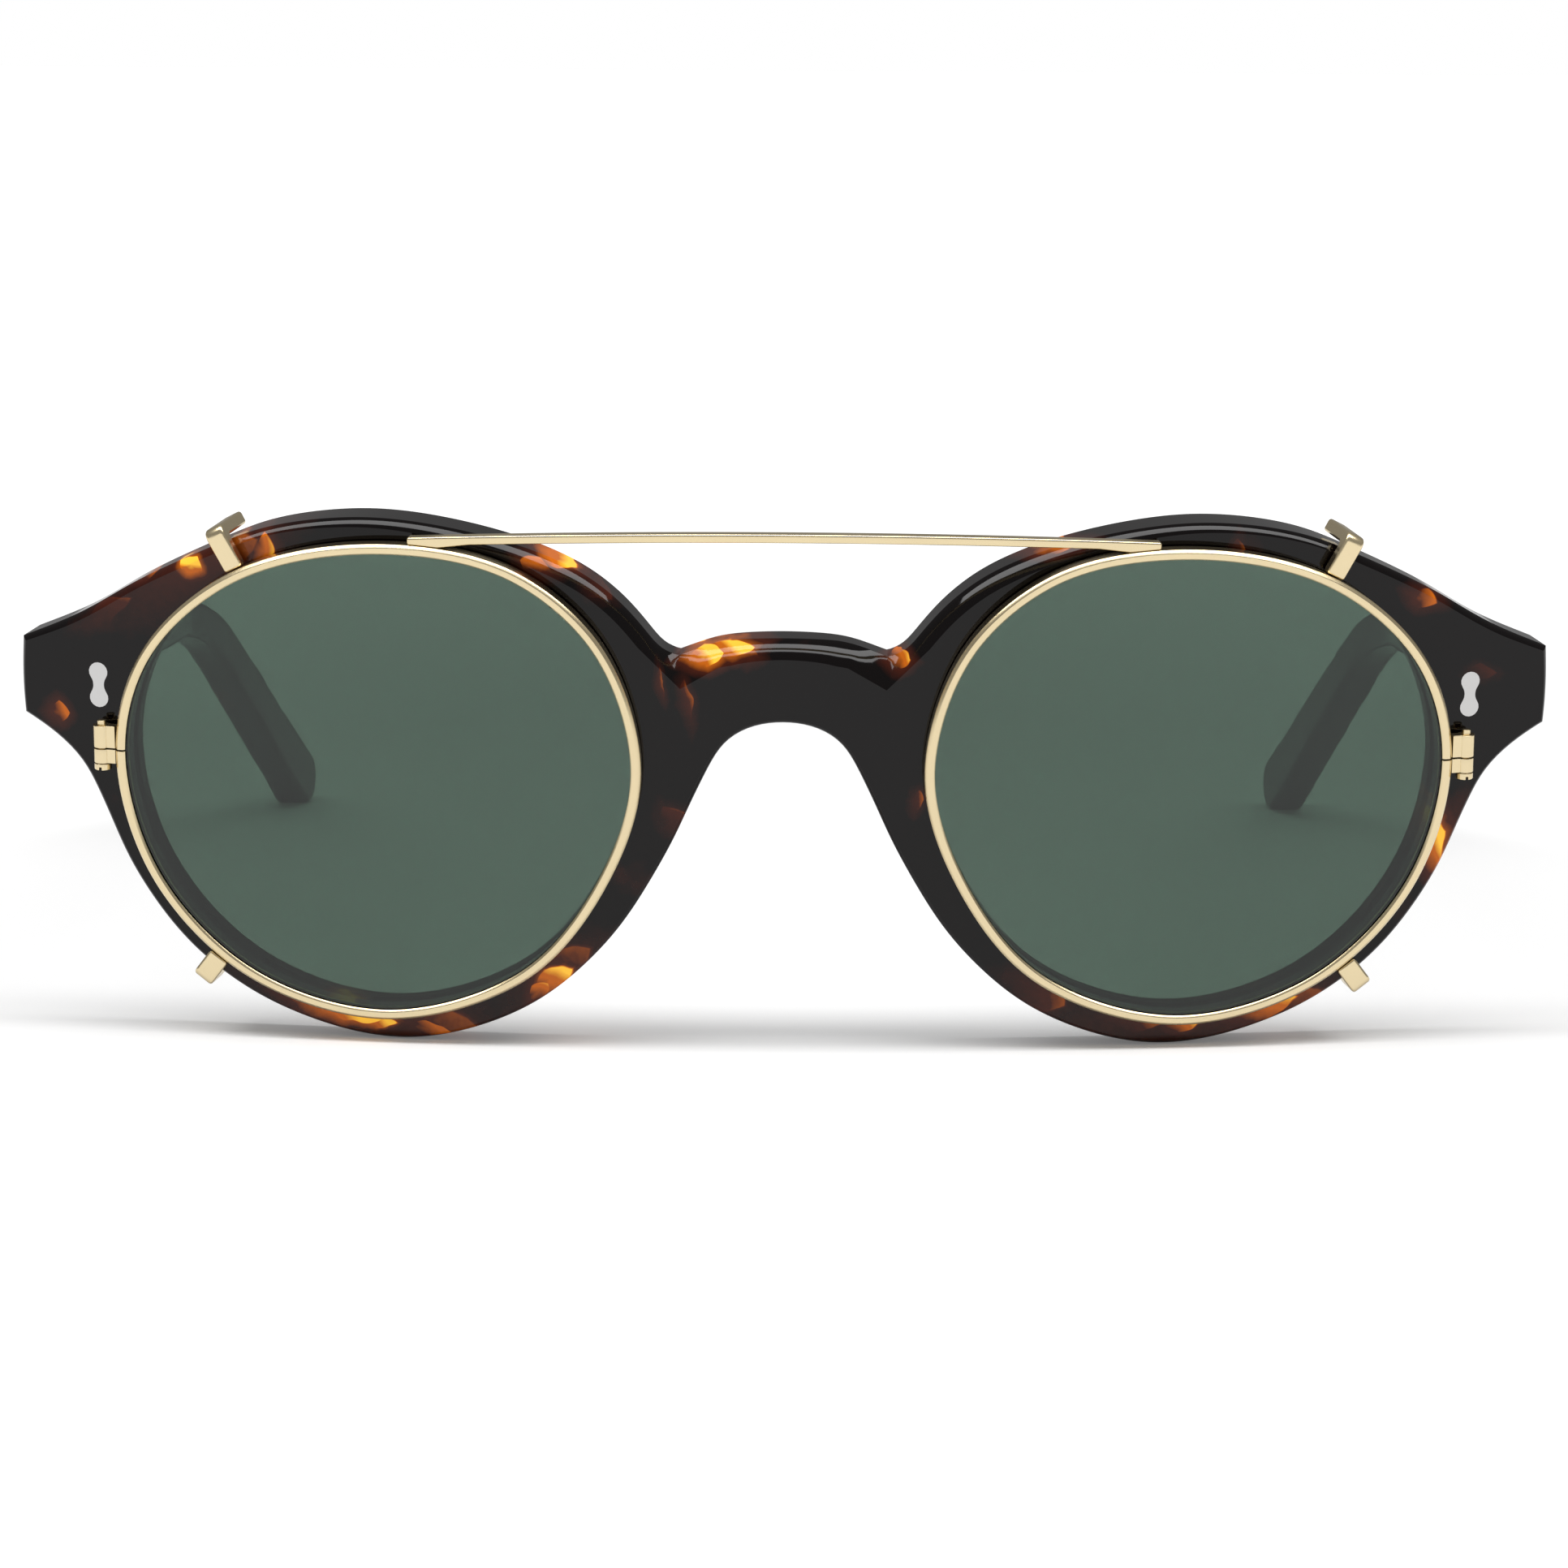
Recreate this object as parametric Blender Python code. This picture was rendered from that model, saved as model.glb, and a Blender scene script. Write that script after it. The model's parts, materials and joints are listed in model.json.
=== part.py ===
"""Round acetate glasses with a metal sun clip-on hooked to the front.

The glasses are an acetate front with two clear lenses, glued nose pads and two
folding temples on riveted three-barrel hinges.  The clip-on is a pair of split metal
rims with tinted lenses, joined by an arched bar and held by four claws.

Everything carried by the front is first modelled flat, with X across, Y up and Z
towards the viewer, and then wrapped: bent back around an upright cylinder and leaned
forward.  The lens centres lie on its X axis, and "depth" is the distance behind the flat
front's face, so it is minus Z.
Left is at -X and right at +X.  World: metres, +Z up, the front faces -Y.
"""

import math

import bmesh
import bpy
from mathutils import Matrix, Vector

MM = 0.001

# ---- the front as a whole
WRAP_RADIUS = 275 * MM
FRONT_LEAN = math.radians(8)
FRONT_THICKNESS = 4.5 * MM
LENS_CENTRE_SPACING = 76.6 * MM
APERTURE_WIDTH = 48.8 * MM
APERTURE_HEIGHT = 45.2 * MM
RIM_BELOW = 3.3 * MM
RIM_ABOVE = 2.7 * MM
RIM_SIDE = 3.0 * MM

# ---- bridge and end pieces of the front
BRIDGE_TOP = 14.4 * MM
BRIDGE_DEPTH = 7.7 * MM
VALLEY_SPACING = 19.6 * MM
VALLEY_DROP = 1.8 * MM
VALLEY_SHOULDER_WIDTH = 3.1 * MM
VALLEY_SHOULDER_RISE = 2.5 * MM
NOSE_ARCH_WIDTH = 15.8 * MM
NOSE_ARCH_SHOULDER = 6.4 * MM
END_PIECE_REACH = 7.6 * MM
END_PIECE_HEIGHT = 7.5 * MM
END_PIECE_LEVEL = 8.05 * MM
END_PIECE_FLARE_ABOVE = 2.6 * MM
END_PIECE_FLARE_BELOW = 3.7 * MM
END_PIECE_BULGE = 0.2 * MM
MILLED_EDGE_BRIDGE = 1.25 * MM
MILLED_EDGE_RIM = 0.6 * MM
MILLED_EDGE_VALLEY = 2.8 * MM
MILLED_FADE_INWARDS = 4.5 * MM
MILLED_FADE_OUTWARDS = 11.0 * MM
POLISHED_EDGE = 0.35 * MM

# ---- clear lenses and nose pads
CLEAR_LENS_THICKNESS = 1.6 * MM
CLEAR_LENS_DEPTH = 1.5 * MM
LENS_GROOVE_DEPTH = 0.5 * MM
NOSE_PAD_HEIGHT = 12.0 * MM
NOSE_PAD_WIDTH = 3.4 * MM
NOSE_PAD_REACH = 4.5 * MM
NOSE_PAD_LEVEL = -7.4 * MM

# ---- clip-on
CLIP_OVERLAP = 0.7 * MM
CLIP_BAND_WIDTH = 0.87 * MM
CLIP_BAND_DEPTH = 1.65 * MM
CLIP_STANDOFF = 0.35 * MM
CLIP_LENS_THICKNESS = 0.9 * MM
CLIP_GROOVE_DEPTH = 0.4 * MM
CLIP_SPLIT_WIDTH = 0.15 * MM
CLIP_SPLIT_LEVEL = 1.9 * MM
BAR_SPAN = 69.6 * MM
BAR_HEIGHT = 0.85 * MM
BAR_THICKNESS = 1.2 * MM
BAR_CROWN_ABOVE_RIM = 1.45 * MM
BAR_ARCH_RISE = 1.1 * MM
BAR_FOOT_LENGTH = 4.8 * MM
BARREL_RADIUS = 0.82 * MM
BARREL_UPPER_LENGTH = 2.15 * MM
BARREL_LOWER_LENGTH = 1.35 * MM
BARREL_STANDOFF = 0.75 * MM
BARREL_WEB_THICKNESS = 1.0 * MM
LOCK_SCREW_RADIUS = 0.42 * MM
LOCK_SCREW_HEAD_HEIGHT = 0.6 * MM
LOCK_SCREW_TIP = 0.45 * MM
LOCK_SLOT_WIDTH = 0.25 * MM
LOCK_SLOT_DEPTH = 0.3 * MM
CLAW_THICKNESS = 1.3 * MM
UPPER_CLAW_ANGLE = math.radians(59.2)
UPPER_CLAW_WIDTH = 1.9 * MM
LOWER_CLAW_ANGLE = math.radians(-51.5)
LOWER_CLAW_WIDTH = 2.1 * MM
CLAW_ARM_OVERRUN = 0.3 * MM
CLAW_BEND_RADIUS = 0.9 * MM

# ---- rivets and hinges
RIVET_LOBE_RADIUS = 0.97 * MM
RIVET_NECK_WIDTH = 1.14 * MM
RIVET_PLATE_THICKNESS = 0.5 * MM
RIVET_INSET = 0.02 * MM
RIVET_PIN_RADIUS = 0.42 * MM
FRONT_RIVET_SPACING = 2.55 * MM
FRONT_RIVET_FROM_END = 7.7 * MM
FRONT_RIVET_LOWERED = 0.4 * MM
TEMPLE_RIVET_SPACING = 3.6 * MM
TEMPLE_RIVET_FROM_BUTT = 8.0 * MM
HINGE_BARREL_RADIUS = 1.2 * MM
HINGE_KNUCKLE_HEIGHT = 1.7 * MM
HINGE_PLATE_THICKNESS = 0.8 * MM
HINGE_PLATE_HEIGHT = 5.6 * MM
FRONT_PLATE_WIDTH = 4.6 * MM
TEMPLE_PLATE_LENGTH = 9.0 * MM
HINGE_SCREW_RADIUS = 0.55 * MM
HINGE_SCREW_HEAD_RADIUS = 1.0 * MM
HINGE_SCREW_HEAD_HEIGHT = 0.6 * MM

# ---- temples
TEMPLE_THICKNESS = 4.0 * MM
TEMPLE_HEIGHT_FRONT = 7.3 * MM
TEMPLE_HEIGHT_MIDDLE = 3.9 * MM
TEMPLE_HEIGHT_TIP = 6.4 * MM
TEMPLE_STRAIGHT = 74.0 * MM
TEMPLE_SLOPE = math.radians(4.2)
TEMPLE_BEND_RADIUS = 46.0 * MM
TEMPLE_DROP_ANGLE = math.radians(30.5)
TEMPLE_TOE_IN = math.radians(0.8)
TEMPLE_TIP_CURL = 6.9 * MM
TIP_CURL_POWER = 1.05
CORE_RADIUS = 0.6 * MM
CORE_TIP_MARGIN = 14.0 * MM

# ---- clearances
SEAT_GAP = 0.2 * MM
GROOVE_GAP = 0.1 * MM
SOLDER_GAP = 0.1 * MM
RUNNING_CLEARANCE = 0.06 * MM
BUTT_GAP = 0.3 * MM
CLAW_GAP = 0.25 * MM

# ---- fineness of the meshes
CURVE_STEPS = 4
BEND_STRIP = 6.0 * MM
PIN_SIDES = 12
BARREL_SIDES = 16
ARC_STEPS = 6
WELD_DISTANCE = 0.001 * MM

# The lens opening as points on a unit box about its centre, +X towards the temple.
LENS_SHAPE = [
    (1.0, 0.07), (0.885, 0.505), (0.53, 0.855), (0.02, 1.0), (-0.51, 0.925), (-0.855, 0.615),
    (-1.0, 0.11), (-0.89, -0.345), (-0.575, -0.795), (-0.04, -1.0), (0.5, -0.855), (0.87, -0.455),
]
# The outer edge of the rim on the same kind of box: over the top, then under the bottom.
RIM_TOP_SHAPE = [
    (-0.825, 0.715), (-0.69, 0.82), (-0.425, 0.93), (0.0, 1.0), (0.37, 0.95), (0.575, 0.86), (0.845, 0.715),
]
RIM_BOTTOM_SHAPE = [
    (1.007, -0.13), (0.887, -0.413), (0.68, -0.695), (0.365, -0.905), (-0.08, -1.0),
    (-0.495, -0.865), (-0.79, -0.595), (-0.995, -0.25),
]

SIDES = {"left": -1, "right": 1}


# ---------------------------------------------------------------- plain geometry

def smooth_points(points, closed=False):
    """Points along a centripetal Catmull-Rom curve through the given ones."""
    knots = [Vector(point) for point in points]
    count = len(knots)
    result = []
    for index in range(count if closed else count - 1):
        start = knots[index]
        end = knots[(index + 1) % count]
        before = knots[index - 1] if closed or index > 0 else 2 * start - end
        after = knots[(index + 2) % count] if closed or index + 2 < count else 2 * end - start
        gap_in = math.sqrt((start - before).length)
        gap = math.sqrt((end - start).length)
        gap_out = math.sqrt((after - end).length)
        leave = ((start - before) / gap_in - (end - before) / (gap_in + gap) + (end - start) / gap) * gap
        arrive = ((end - start) / gap - (after - start) / (gap + gap_out) + (after - end) / gap_out) * gap
        for step in range(CURVE_STEPS):
            t = step / CURVE_STEPS
            result.append((2 * t**3 - 3 * t**2 + 1) * start + (t**3 - 2 * t**2 + t) * leave
                          + (3 * t**2 - 2 * t**3) * end + (t**3 - t**2) * arrive)
    if not closed:
        result.append(knots[-1])
    return result


def loop_normals(loop):
    """The outward normal at each point of a closed loop."""
    turns = sum(a.x * b.y - b.x * a.y for a, b in zip(loop, loop[1:] + loop[:1]))
    normals = []
    for before, after in zip(loop[-1:] + loop[:-1], loop[1:] + loop[:1]):
        along = (after - before).normalized()
        normals.append(Vector((along.y, -along.x)) * math.copysign(1, turns))
    return normals


def grown(loop, distance):
    """The closed loop moved outwards by a distance."""
    return [point + normal * distance for point, normal in zip(loop, loop_normals(loop))]


def arc(centre, radius, start, end, steps=ARC_STEPS):
    """Points on an arc, both ends included."""
    angles = [start + (end - start) * step / steps for step in range(steps + 1)]
    return [Vector((centre[0] + radius * math.cos(a), centre[1] + radius * math.sin(a))) for a in angles]


def crossing(loop, origin, direction):
    """Where a ray from the origin first leaves a closed loop."""
    nearest = None
    for a, b in zip(loop, loop[1:] + loop[:1]):
        edge = b - a
        cross = direction.x * edge.y - direction.y * edge.x
        if abs(cross) < 1e-12:
            continue
        offset = a - origin
        along_ray = (offset.x * edge.y - offset.y * edge.x) / cross
        along_edge = (offset.x * direction.y - offset.y * direction.x) / cross
        if along_ray > 0 and 0 <= along_edge <= 1 and (nearest is None or along_ray < nearest):
            nearest = along_ray
    return origin + direction * nearest


# ---------------------------------------------------------------- outlines of the front

LENS_CENTRE = Vector((LENS_CENTRE_SPACING / 2, 0))


def aperture_loop():
    """The lens opening of the right rim, counter-clockwise."""
    return smooth_points([(LENS_CENTRE.x + x * APERTURE_WIDTH / 2, y * APERTURE_HEIGHT / 2)
                          for x, y in LENS_SHAPE], closed=True)


def clip_loop():
    """The outer edge of the right clip rim."""
    return grown(aperture_loop(), CLIP_OVERLAP)


def end_piece_edge():
    """How far the tip of the end piece lies from the middle, along the flat front."""
    return LENS_CENTRE.x + APERTURE_WIDTH / 2 + RIM_SIDE + END_PIECE_REACH


def front_half_outline():
    """The front's outline from the top of the bridge, over the right rim and back to the nose arch."""
    half_width = APERTURE_WIDTH / 2 + RIM_SIDE
    half_top = APERTURE_HEIGHT / 2 + RIM_ABOVE
    half_bottom = APERTURE_HEIGHT / 2 + RIM_BELOW
    valley = Vector((VALLEY_SPACING / 2, BRIDGE_TOP - VALLEY_DROP))
    arch_top = BRIDGE_TOP - BRIDGE_DEPTH
    arch_half = NOSE_ARCH_WIDTH / 2
    end = end_piece_edge()
    end_top = END_PIECE_LEVEL + END_PIECE_HEIGHT / 2
    end_bottom = END_PIECE_LEVEL - END_PIECE_HEIGHT / 2
    rim_top = [(LENS_CENTRE.x + x * half_width, y * half_top) for x, y in RIM_TOP_SHAPE]
    rim_bottom = [(LENS_CENTRE.x + x * half_width, y * half_bottom)
                  for x, y in RIM_BOTTOM_SHAPE]
    bridge = smooth_points([
        (0, BRIDGE_TOP), (valley.x * 0.3, BRIDGE_TOP - VALLEY_DROP * 0.06),
        (valley.x * 0.61, BRIDGE_TOP - VALLEY_DROP * 0.22),
        (valley.x * 0.84, BRIDGE_TOP - VALLEY_DROP * 0.67), valley])
    over_rim = smooth_points(
        [valley, (valley.x + VALLEY_SHOULDER_WIDTH * 0.52, valley.y + VALLEY_SHOULDER_RISE * 0.2),
         (valley.x + VALLEY_SHOULDER_WIDTH, valley.y + VALLEY_SHOULDER_RISE)]
        + rim_top + [(end - END_PIECE_REACH * 0.76, end_top + END_PIECE_FLARE_ABOVE), (end, end_top)])
    outer_end = smooth_points([(end, end_top), (end + END_PIECE_BULGE, END_PIECE_LEVEL), (end, end_bottom)])
    under_rim = smooth_points(
        [(end, end_bottom), (end - END_PIECE_REACH * 0.3, end_bottom - END_PIECE_FLARE_BELOW * 0.35),
         (end - END_PIECE_REACH * 0.7, end_bottom - END_PIECE_FLARE_BELOW)]
        + rim_bottom + [(arch_half, arch_top - NOSE_ARCH_SHOULDER),
                        (arch_half * 0.67, arch_top - NOSE_ARCH_SHOULDER * 0.27),
                        (arch_half * 0.33, arch_top - NOSE_ARCH_SHOULDER * 0.05), (0, arch_top)])
    return bridge[:-1] + over_rim[:-1] + outer_end[:-1] + under_rim


def front_outline():
    """The whole outline of the front."""
    half = front_half_outline()
    other_half = [Vector((-point.x, point.y)) for point in reversed(half[1:-1])]
    return half + other_half


def mirrored(loop, side):
    """The right-hand loop, mirrored for the left side."""
    return [Vector((point.x * side, point.y)) for point in loop]


# ---------------------------------------------------------------- wrapping the flat front

def wrapped(point):
    """World position of a point of the flat front, above a table that is still at the front's foot."""
    angle = point[0] / WRAP_RADIUS
    radius = WRAP_RADIUS + point[2]
    back = WRAP_RADIUS - radius * math.cos(angle)
    upright = Vector((radius * math.sin(angle), back, point[1]))
    return Matrix.Rotation(FRONT_LEAN, 3, "X") @ upright


def lowest_front_point():
    """Height of the rims' lowest point before the front is lifted onto the table."""
    return min(wrapped((point.x, point.y, -depth)).z
               for point in front_half_outline() for depth in (0, FRONT_THICKNESS))


TABLE_LIFT = -lowest_front_point()


def front_point(u, w, depth):
    """World position of a point at u across, w up and depth behind the flat front's face."""
    return wrapped((u, w, -depth)) + Vector((0, 0, TABLE_LIFT))


# ---------------------------------------------------------------- Blender helpers

def clear_scene():
    for existing in list(bpy.data.objects):
        bpy.data.objects.remove(existing)


def link(new_object):
    bpy.context.scene.collection.objects.link(new_object)
    return new_object


def turn_outwards(mesh_builder):
    """Turns all the faces of a closed mesh outwards."""
    bmesh.ops.recalc_face_normals(mesh_builder, faces=mesh_builder.faces)
    if mesh_builder.calc_volume(signed=True) < 0:
        bmesh.ops.reverse_faces(mesh_builder, faces=mesh_builder.faces)


def object_from(name, mesh_builder):
    """A new object from a bmesh, with its faces turned outwards."""
    turn_outwards(mesh_builder)
    mesh = bpy.data.meshes.new(name)
    mesh_builder.to_mesh(mesh)
    mesh_builder.free()
    return link(bpy.data.objects.new(name, mesh))


def baked(source):
    """The evaluated object as a welded mesh object at the world origin, in place of the source."""
    name = source.name
    bpy.context.view_layer.update()
    evaluated = source.evaluated_get(bpy.context.evaluated_depsgraph_get())
    mesh = bpy.data.meshes.new_from_object(evaluated)
    mesh.transform(source.matrix_world)
    bpy.data.objects.remove(source)
    mesh_builder = bmesh.new()
    mesh_builder.from_mesh(mesh)
    bpy.data.meshes.remove(mesh)
    bmesh.ops.remove_doubles(mesh_builder, verts=mesh_builder.verts, dist=WELD_DISTANCE)
    return object_from(name, mesh_builder)


def combined(target, tool, operation):
    """The target after a Boolean with the tool, which is used up."""
    modifier = target.modifiers.new("combine", "BOOLEAN")
    modifier.operation = operation
    modifier.object = tool
    result = baked(target)
    bpy.data.objects.remove(tool)
    return result


def cut(target, tool):
    return combined(target, tool, "DIFFERENCE")


def joined(target, tool):
    return combined(target, tool, "UNION")


def plate(name, loops, front_depth, back_depth):
    """Flat outlines filled and extruded between two depths; an inner outline is a hole."""
    curve = bpy.data.curves.new(name, "CURVE")
    curve.dimensions = "2D"
    curve.fill_mode = "BOTH"
    curve.extrude = (back_depth - front_depth) / 2
    for loop in loops:
        spline = curve.splines.new("POLY")
        spline.points.add(len(loop) - 1)
        spline.use_cyclic_u = True
        for control, point in zip(spline.points, loop):
            control.co = (point[0], point[1], 0, 1)
    flat = link(bpy.data.objects.new(name, curve))
    flat.location.z = -(front_depth + back_depth) / 2
    return baked(flat)


def box(name, corner, opposite):
    """A box between two opposite corners."""
    mesh_builder = bmesh.new()
    centre = (Vector(corner) + Vector(opposite)) / 2
    size = [abs(length) for length in Vector(opposite) - Vector(corner)]
    placing = Matrix.Translation(centre) @ Matrix.Diagonal((*size, 1))
    bmesh.ops.create_cube(mesh_builder, size=1, matrix=placing)
    return object_from(name, mesh_builder)


def rod(name, start, end, radius, sides):
    """A round rod between two points."""
    start = Vector(start)
    along = Vector(end) - start
    turn = along.to_track_quat("Z", "Y").to_matrix().to_4x4()
    placing = Matrix.Translation(start + along / 2) @ turn
    mesh_builder = bmesh.new()
    bmesh.ops.create_cone(mesh_builder, cap_ends=True, segments=sides, radius1=radius,
                          radius2=radius, depth=along.length, matrix=placing)
    return object_from(name, mesh_builder)


def in_strips(flat, start=-math.inf):
    """Makes the flat faces whole, then cuts them at even distances across, so that they can bend."""
    mesh_builder = bmesh.new()
    mesh_builder.from_mesh(flat.data)
    bmesh.ops.dissolve_limit(mesh_builder, angle_limit=math.radians(0.2), verts=mesh_builder.verts,
                             edges=mesh_builder.edges)
    low = max(start, min(vertex.co.x for vertex in mesh_builder.verts))
    high = max(vertex.co.x for vertex in mesh_builder.verts)
    for index in range(math.ceil(low / BEND_STRIP), math.floor(high / BEND_STRIP) + 1):
        everything = mesh_builder.verts[:] + mesh_builder.edges[:] + mesh_builder.faces[:]
        bmesh.ops.bisect_plane(mesh_builder, geom=everything, dist=WELD_DISTANCE,
                               plane_co=(index * BEND_STRIP, 0, 0), plane_no=(1, 0, 0))
    mesh_builder.to_mesh(flat.data)
    mesh_builder.free()


def moved_by(shape, mapping):
    """Makes the faces triangles, sends every vertex through a mapping and turns them outwards."""
    mesh_builder = bmesh.new()
    mesh_builder.from_mesh(shape.data)
    bmesh.ops.triangulate(mesh_builder, faces=mesh_builder.faces)
    for vertex in mesh_builder.verts:
        vertex.co = mapping(vertex.co.copy())
    turn_outwards(mesh_builder)
    mesh_builder.to_mesh(shape.data)
    mesh_builder.free()
    return shape


def wrap(flat, strips=True):
    """Bends and leans a flat-front shape into its place."""
    if strips:
        in_strips(flat)
    return moved_by(flat, lambda co: front_point(co.x, co.y, -co.z))


# ---------------------------------------------------------------- acetate front

def milled_width(u):
    """Width of the milled facet along the top edge: widest in the valleys beside the bridge."""
    beyond = abs(u) - VALLEY_SPACING / 2
    base, fade = (MILLED_EDGE_RIM, MILLED_FADE_OUTWARDS) if beyond > 0 else (MILLED_EDGE_BRIDGE, MILLED_FADE_INWARDS)
    return base + (MILLED_EDGE_VALLEY - base) * math.exp(-abs(beyond) / fade)


def mill_front_edges(front):
    """Slopes the front face's outer edge: a wide facet on top and a polished edge elsewhere."""
    outline = front_outline()
    normals = loop_normals(outline)
    mesh_builder = bmesh.new()
    mesh_builder.from_mesh(front.data)
    everything = mesh_builder.verts[:] + mesh_builder.edges[:] + mesh_builder.faces[:]
    halfway = Vector((0, 0, -FRONT_THICKNESS / 2))
    bmesh.ops.bisect_plane(mesh_builder, geom=everything, dist=WELD_DISTANCE,
                           plane_co=halfway, plane_no=(0, 0, 1))
    for vertex in mesh_builder.verts:
        if vertex.co.z < -FRONT_THICKNESS * 0.75:
            continue
        flat = Vector(vertex.co[:2])
        index = min(range(len(outline)), key=lambda number: (outline[number] - flat).length)
        if (outline[index] - flat).length > WELD_DISTANCE * 2:
            continue
        on_top = normals[index].y > 0.3
        facet = max(POLISHED_EDGE, milled_width(flat.x)) if on_top else POLISHED_EDGE
        if vertex.co.z > -WELD_DISTANCE:
            vertex.co.xy = flat - normals[index] * facet
        else:
            vertex.co.z = -min(facet * 1.15, FRONT_THICKNESS * 0.75)
    face = [flat for flat in mesh_builder.faces if all(vertex.co.z > -WELD_DISTANCE for vertex in flat.verts)]
    bmesh.ops.delete(mesh_builder, geom=face, context="FACES_ONLY")
    loose = [edge for edge in mesh_builder.edges if not edge.link_faces]
    bmesh.ops.delete(mesh_builder, geom=loose, context="EDGES")
    border = [edge for edge in mesh_builder.edges if edge.is_boundary]
    bmesh.ops.triangle_fill(mesh_builder, edges=border, use_beauty=True, use_dissolve=False)
    bmesh.ops.triangulate(mesh_builder, faces=mesh_builder.faces)
    turn_outwards(mesh_builder)
    mesh_builder.to_mesh(front.data)
    mesh_builder.free()


def frame_front():
    """One acetate plate with both lens openings, lens grooves, rivet seats and pin holes."""
    front = plate("frame_front", [front_outline()] + [mirrored(aperture_loop(), s) for s in SIDES.values()],
                  0, FRONT_THICKNESS)
    mill_front_edges(front)
    for side in SIDES.values():
        groove = plate("groove", [mirrored(grown(clear_lens_loop(), GROOVE_GAP), side)],
                       CLEAR_LENS_DEPTH - GROOVE_GAP, CLEAR_LENS_DEPTH + CLEAR_LENS_THICKNESS + GROOVE_GAP)
        front = cut(front, groove)
        seat_back = RIVET_INSET + RIVET_PLATE_THICKNESS + GROOVE_GAP
        centre = front_rivet_centre(side)
        seat = plate("seat", [dumbbell(centre, FRONT_RIVET_SPACING, GROOVE_GAP)], -seat_back, seat_back)
        for height in pin_heights(centre, FRONT_RIVET_SPACING):
            hole = rod("hole", (centre.x, height, -FRONT_THICKNESS - MM), (centre.x, height, -seat_back / 2),
                       RIVET_PIN_RADIUS + RUNNING_CLEARANCE, PIN_SIDES)
            seat = joined(seat, hole)
        front = cut(front, seat)
    return wrap(front)


def clear_lens_loop():
    return grown(aperture_loop(), LENS_GROOVE_DEPTH)


def clear_lens(name, side):
    """A thin clear lens with its edge in the front's groove."""
    return wrap(plate(f"clear_lens_{name}", [mirrored(clear_lens_loop(), side)],
                      CLEAR_LENS_DEPTH, CLEAR_LENS_DEPTH + CLEAR_LENS_THICKNESS))


def nose_pad(name, side):
    """Half an upright ellipsoid glued to the back of the front, between nose arch and lens."""
    level = Vector((0, NOSE_PAD_LEVEL))
    across = Vector((1, 0))
    nose_edge = crossing(front_outline(), level, across).x
    lens_edge = crossing(aperture_loop(), level, across).x
    above = crossing(front_outline(), level + Vector((0, NOSE_PAD_HEIGHT / 4)), across)
    below = crossing(front_outline(), level - Vector((0, NOSE_PAD_HEIGHT / 4)), across)
    lean = math.atan2(above.x - below.x, above.y - below.y)
    middle = (nose_edge + lens_edge) / 2
    mesh_builder = bmesh.new()
    bmesh.ops.create_uvsphere(mesh_builder, u_segments=16, v_segments=10, radius=1)
    back = -FRONT_THICKNESS - SEAT_GAP
    placing = (Matrix.Translation((middle * side, NOSE_PAD_LEVEL, back))
               @ Matrix.Rotation(-lean * side, 4, "Z")
               @ Matrix.Diagonal((NOSE_PAD_WIDTH / 2, NOSE_PAD_HEIGHT / 2, NOSE_PAD_REACH, 1)))
    bmesh.ops.transform(mesh_builder, matrix=placing, verts=mesh_builder.verts)
    everything = mesh_builder.verts[:] + mesh_builder.edges[:] + mesh_builder.faces[:]
    sliced = bmesh.ops.bisect_plane(mesh_builder, geom=everything, dist=WELD_DISTANCE,
                                    plane_co=(0, 0, back), plane_no=(0, 0, 1), clear_outer=True)
    rim = [part for part in sliced["geom_cut"] if isinstance(part, bmesh.types.BMEdge)]
    bmesh.ops.contextual_create(mesh_builder, geom=rim)
    return wrap(object_from(f"nose_pad_{name}", mesh_builder), strips=False)


# ---------------------------------------------------------------- rivets

def dumbbell(centre, spacing, growth=0.0):
    """Two round lobes one above the other, joined by a neck with hollow flanks."""
    lobe = RIVET_LOBE_RADIUS + growth
    neck = RIVET_NECK_WIDTH / 2 + growth
    flank = (neck**2 + spacing**2 / 4 - lobe**2) / (2 * (lobe - neck))
    meeting = math.atan2(spacing / 2, neck + flank)
    upper = arc((0, spacing / 2), lobe, -meeting, math.pi + meeting, 2 * ARC_STEPS)
    left_flank = arc((-neck - flank, 0), flank, meeting, -meeting)
    lower = arc((0, -spacing / 2), lobe, math.pi - meeting, 2 * math.pi + meeting, 2 * ARC_STEPS)
    right_flank = arc((neck + flank, 0), flank, math.pi + meeting, math.pi - meeting)
    loop = upper + left_flank[1:-1] + lower + right_flank[1:-1]
    return [point + centre for point in loop]


def pin_heights(centre, spacing):
    return centre.y - spacing / 2, centre.y + spacing / 2


def front_rivet_centre(side):
    return Vector((side * (end_piece_edge() - FRONT_RIVET_FROM_END), END_PIECE_LEVEL - FRONT_RIVET_LOWERED))


def front_rivet(name, side):
    """A dumbbell head sunk in the front's face, with two pins through to the hinge plate."""
    centre = front_rivet_centre(side)
    rivet = plate(f"front_rivet_{name}", [dumbbell(centre, FRONT_RIVET_SPACING)],
                  RIVET_INSET, RIVET_INSET + RIVET_PLATE_THICKNESS)
    pin_end = -FRONT_THICKNESS - SEAT_GAP - HINGE_PLATE_THICKNESS
    for height in pin_heights(centre, FRONT_RIVET_SPACING):
        pin = rod("pin", (centre.x, height, pin_end), (centre.x, height, -RIVET_INSET - RIVET_PLATE_THICKNESS / 2),
                  RIVET_PIN_RADIUS, PIN_SIDES)
        rivet = joined(rivet, pin)
    return wrap(rivet, strips=False)


# ---------------------------------------------------------------- hinges

def temple_outer_x():
    """Outer face of the temple where it meets the end piece."""
    return front_point(end_piece_edge(), END_PIECE_LEVEL, FRONT_THICKNESS).x


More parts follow.
